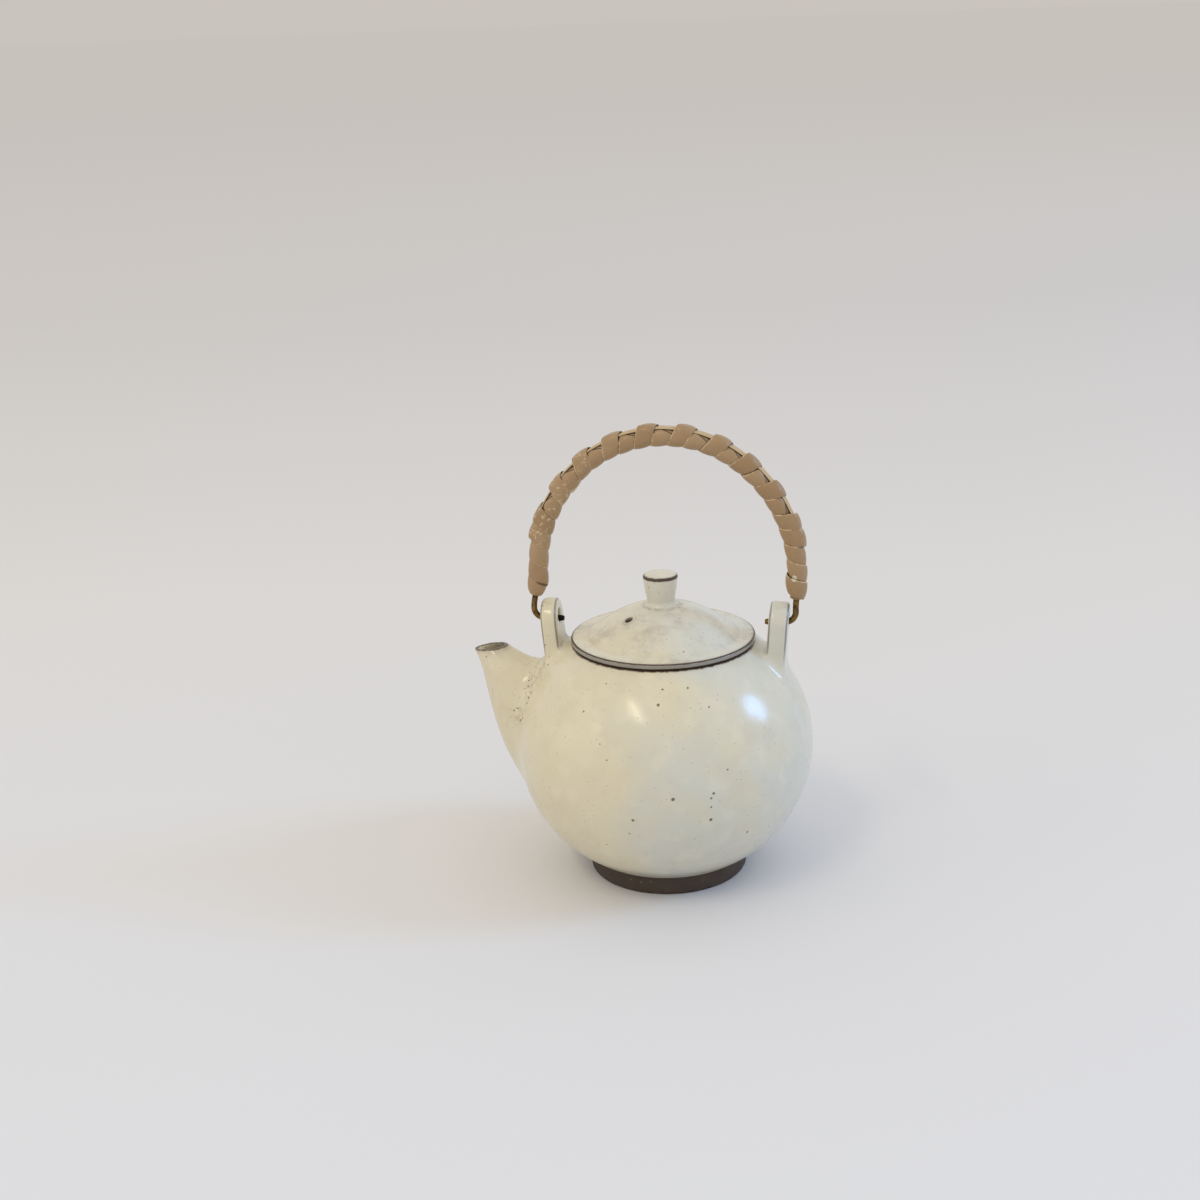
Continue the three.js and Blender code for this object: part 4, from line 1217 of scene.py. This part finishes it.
# %% Sweep the strip
strip_start = CAD_TAPE / 4 + PITCH * (END_TURNS + 0.5)
strip_end = CAD_TAPE * 0.75 + PITCH * (BANDS - END_TURNS - 0.5)
runs = np.linspace(strip_start, strip_end, 400)
place, along, out = handle_frame(runs)
held = np.cos((runs - CAD_TAPE / 2) / PITCH * math.pi - math.pi * COVERED_TURNS)
middle = place + out * ((STRIP_BOTTOM + STRIP_TOP) / 2 + 0.06 * held)[:, None]
strip = sweep(
    "cane_strip", middle, out, np.ones(len(runs)), pale_cane,
    Width=2 * STRIP_HALF * MM, Thickness=(STRIP_TOP - STRIP_BOTTOM) * MM, Crown=0.06 * MM,
    Squareness=0.25, Section_points=24,
)

# %% [markdown]
# ## Putting the pieces on their bodies
# Each new piece stands for the CAD pieces that it covers and rides on their body. The strainer and the
# padding stay as they are in the CAD, with a finish of their own.

# %% Tie to the frame
for obj, body, slot, nodes in (
    (pot, "pot", "glaze", ("pot_bowl", "pot_body", "spout", "lug_front", "lug_rear")),
    (foot, "pot", "bare_clay", ("foot_ring",)),
    (lid, "lid", "glaze", ("lid", "lid_ring", "lid_knob")),
    (wire, "bail", "brass_wire", ("bail_wire",)),
    (windings[0], "bail", "tan_tape", ("tape_front",)),
    (windings[1], "bail", "tan_tape", ("tape_rear",)),
    (strip, "bail", "pale_cane", ("handle_strip",)),
):
    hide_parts(*nodes)
    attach(obj, body)
for node, finish in (("strainer", bare_clay), ("handle_core", padding)):
    mesh = frame["nodes"][node].data
    mesh.materials.clear()
    mesh.materials.append(finish)

# %% [markdown]
# ## Floor and light
# Pale paper with painted falloff that darkens it a little with distance, an even room, a cool window on the
# right, a long warm lamp above on the left with a small one beside it, and a faint wide light from the left.
# They stand far off, so that they light the paper evenly. The camera sees a flat background of the paper's
# own colour.

# %% Paper floor
FLOOR_HALF = 80.0
# Tones of the paper with painted falloff, mostly darker further off, by half a metre over the distance.
PAINTED_FALLOFF_TONES = [
    (0.0, (217, 213, 209)), (0.205, (210, 206, 203)), (0.445, (220, 217, 214)), (0.71, (221, 220, 221)),
    (1.0, (221, 221, 223)),
]
corners = [(x * FLOOR_HALF, y * FLOOR_HALF, 0) for x, y in ((-1, -1), (1, -1), (1, 1), (-1, 1))]
floor_mesh = bpy.data.meshes.new("paper_floor")
floor_mesh.from_pydata(corners, [], [(0, 1, 2, 3)])
floor = link(bpy.data.objects.new("paper_floor", floor_mesh))
paper, tree, shader = finish_of("Pale paper")
x, y, _ = xyz(put(tree, "ShaderNodeTexCoord", output="Object"))
back = x * -0.175 + y * 0.985
out = (length_of(x, y) - 1.0) * 1.2
# Painted falloff: the paper's colour darkens with distance, standing in for light that falls off.
shade = put(tree, "ShaderNodeValToRGB", {0: 0.5 / most(back + 0.741, out, 0.05)})
stops = shade.socket.node.color_ramp.elements
while len(stops) < len(PAINTED_FALLOFF_TONES):
    stops.new(0.5)
for stop, (position, tone) in zip(stops, PAINTED_FALLOFF_TONES):
    stop.position = position
    stop.color = srgb(*tone)
fill(shader, {"Base Color": shade, "Roughness": 0.9, "Specular IOR Level": 0.0})
floor.data.materials.append(paper)
print("paper tones:", len(stops))

# %% [markdown]
# ## Lights
# Each light is an ellipse, and its mirror image in the glaze has that shape. Its strength is written as
# radiance, so its size can change without changing how bright its image is.

# %% Lights
LIGHT_DISTANCE = 5


def panel(name, toward, tall, size, radiance):
    """A soft elliptical light far off. Its size is its long and its short angle, in radians."""
    direction = Vector(toward).normalized()
    long_axis = Vector(tall)
    long_axis = (long_axis - direction * long_axis.dot(direction)).normalized()
    short_axis = direction.cross(long_axis)
    data = bpy.data.lights.new(name, "AREA")
    data.shape = "ELLIPSE"
    data.size, data.size_y = (LIGHT_DISTANCE * angle for angle in size)
    brightest = max(radiance)
    data.energy = brightest * math.pi * math.pi / 4 * data.size * data.size_y
    data.color = [part / brightest for part in radiance]
    lamp = link(bpy.data.objects.new(name, data))
    turned = Matrix((long_axis, short_axis, direction)).transposed().to_4x4()
    place = Vector((AXIS_X * MM, 0, 0.08)) + direction * LIGHT_DISTANCE
    lamp.matrix_world = Matrix.Translation(place) @ turned


panel("window", (0.88, 0.125, 0.458), (0, 0, 1), (0.34, 0.26), (4.0, 7.6, 14.0))
panel("lamp", (-0.28, -0.545, 0.785), (0.164, -0.296, -0.154), (0.42, 0.10), (12.5, 10.6, 7.4))
panel("small lamp", (-0.716, -0.496, 0.491), (0, 0, 1), (0.05, 0.09), (8.0, 7.6, 6.6))
panel("soft side", (-0.9, -0.35, 0.25), (0, 0, 1), (0.9, 0.7), (0.55, 0.5, 0.42))
print("lights:", ", ".join(light.name for light in bpy.data.lights))

# %% [markdown]
# ## Room
# The room lights everything evenly. Light Path lets only the camera see the flat background.

# %% Room
world = bpy.data.worlds.new("Room")
bpy.context.scene.world = world
world.use_nodes = True
sky = world.node_tree
room = sky.nodes["Background"]
fill(room, {"Color": (0.83, 0.815, 0.79, 1.0)})
seen = put(sky, "ShaderNodeBackground", {"Color": srgb(201, 196, 189)})
camera_ray = put(sky, "ShaderNodeLightPath", output="Is Camera Ray")
chosen = put(sky, "ShaderNodeMixShader", {0: camera_ray, 1: Flow(room.outputs[0]), 2: seen})
fill(sky.nodes["World Output"], {"Surface": chosen})
bpy.context.scene.view_settings.view_transform = "Standard"

# %% [markdown]
# ## Camera
# The camera's place, direction and lens were fitted to the photo, counted from the pot's own axis.

# %% Camera
camera_data = bpy.data.cameras.new("camera")
camera_data.sensor_width, camera_data.lens = 36, 54
camera = link(bpy.data.objects.new("camera", camera_data))
forward = Vector((-0.1664, 0.9364, -0.3091)).normalized()
right = Vector((0.98593, 0.16311, -0.03659))
right = (right - forward * right.dot(forward)).normalized()
up = right.cross(forward)
turned = Matrix((right, up, -forward)).transposed().to_4x4()
camera.matrix_world = Matrix.Translation(((102.9 + AXIS_X) * MM, -0.7320, 0.3648)) @ turned
bpy.context.scene.camera = camera
print("camera at", [round(part, 3) for part in camera.matrix_world.translation])
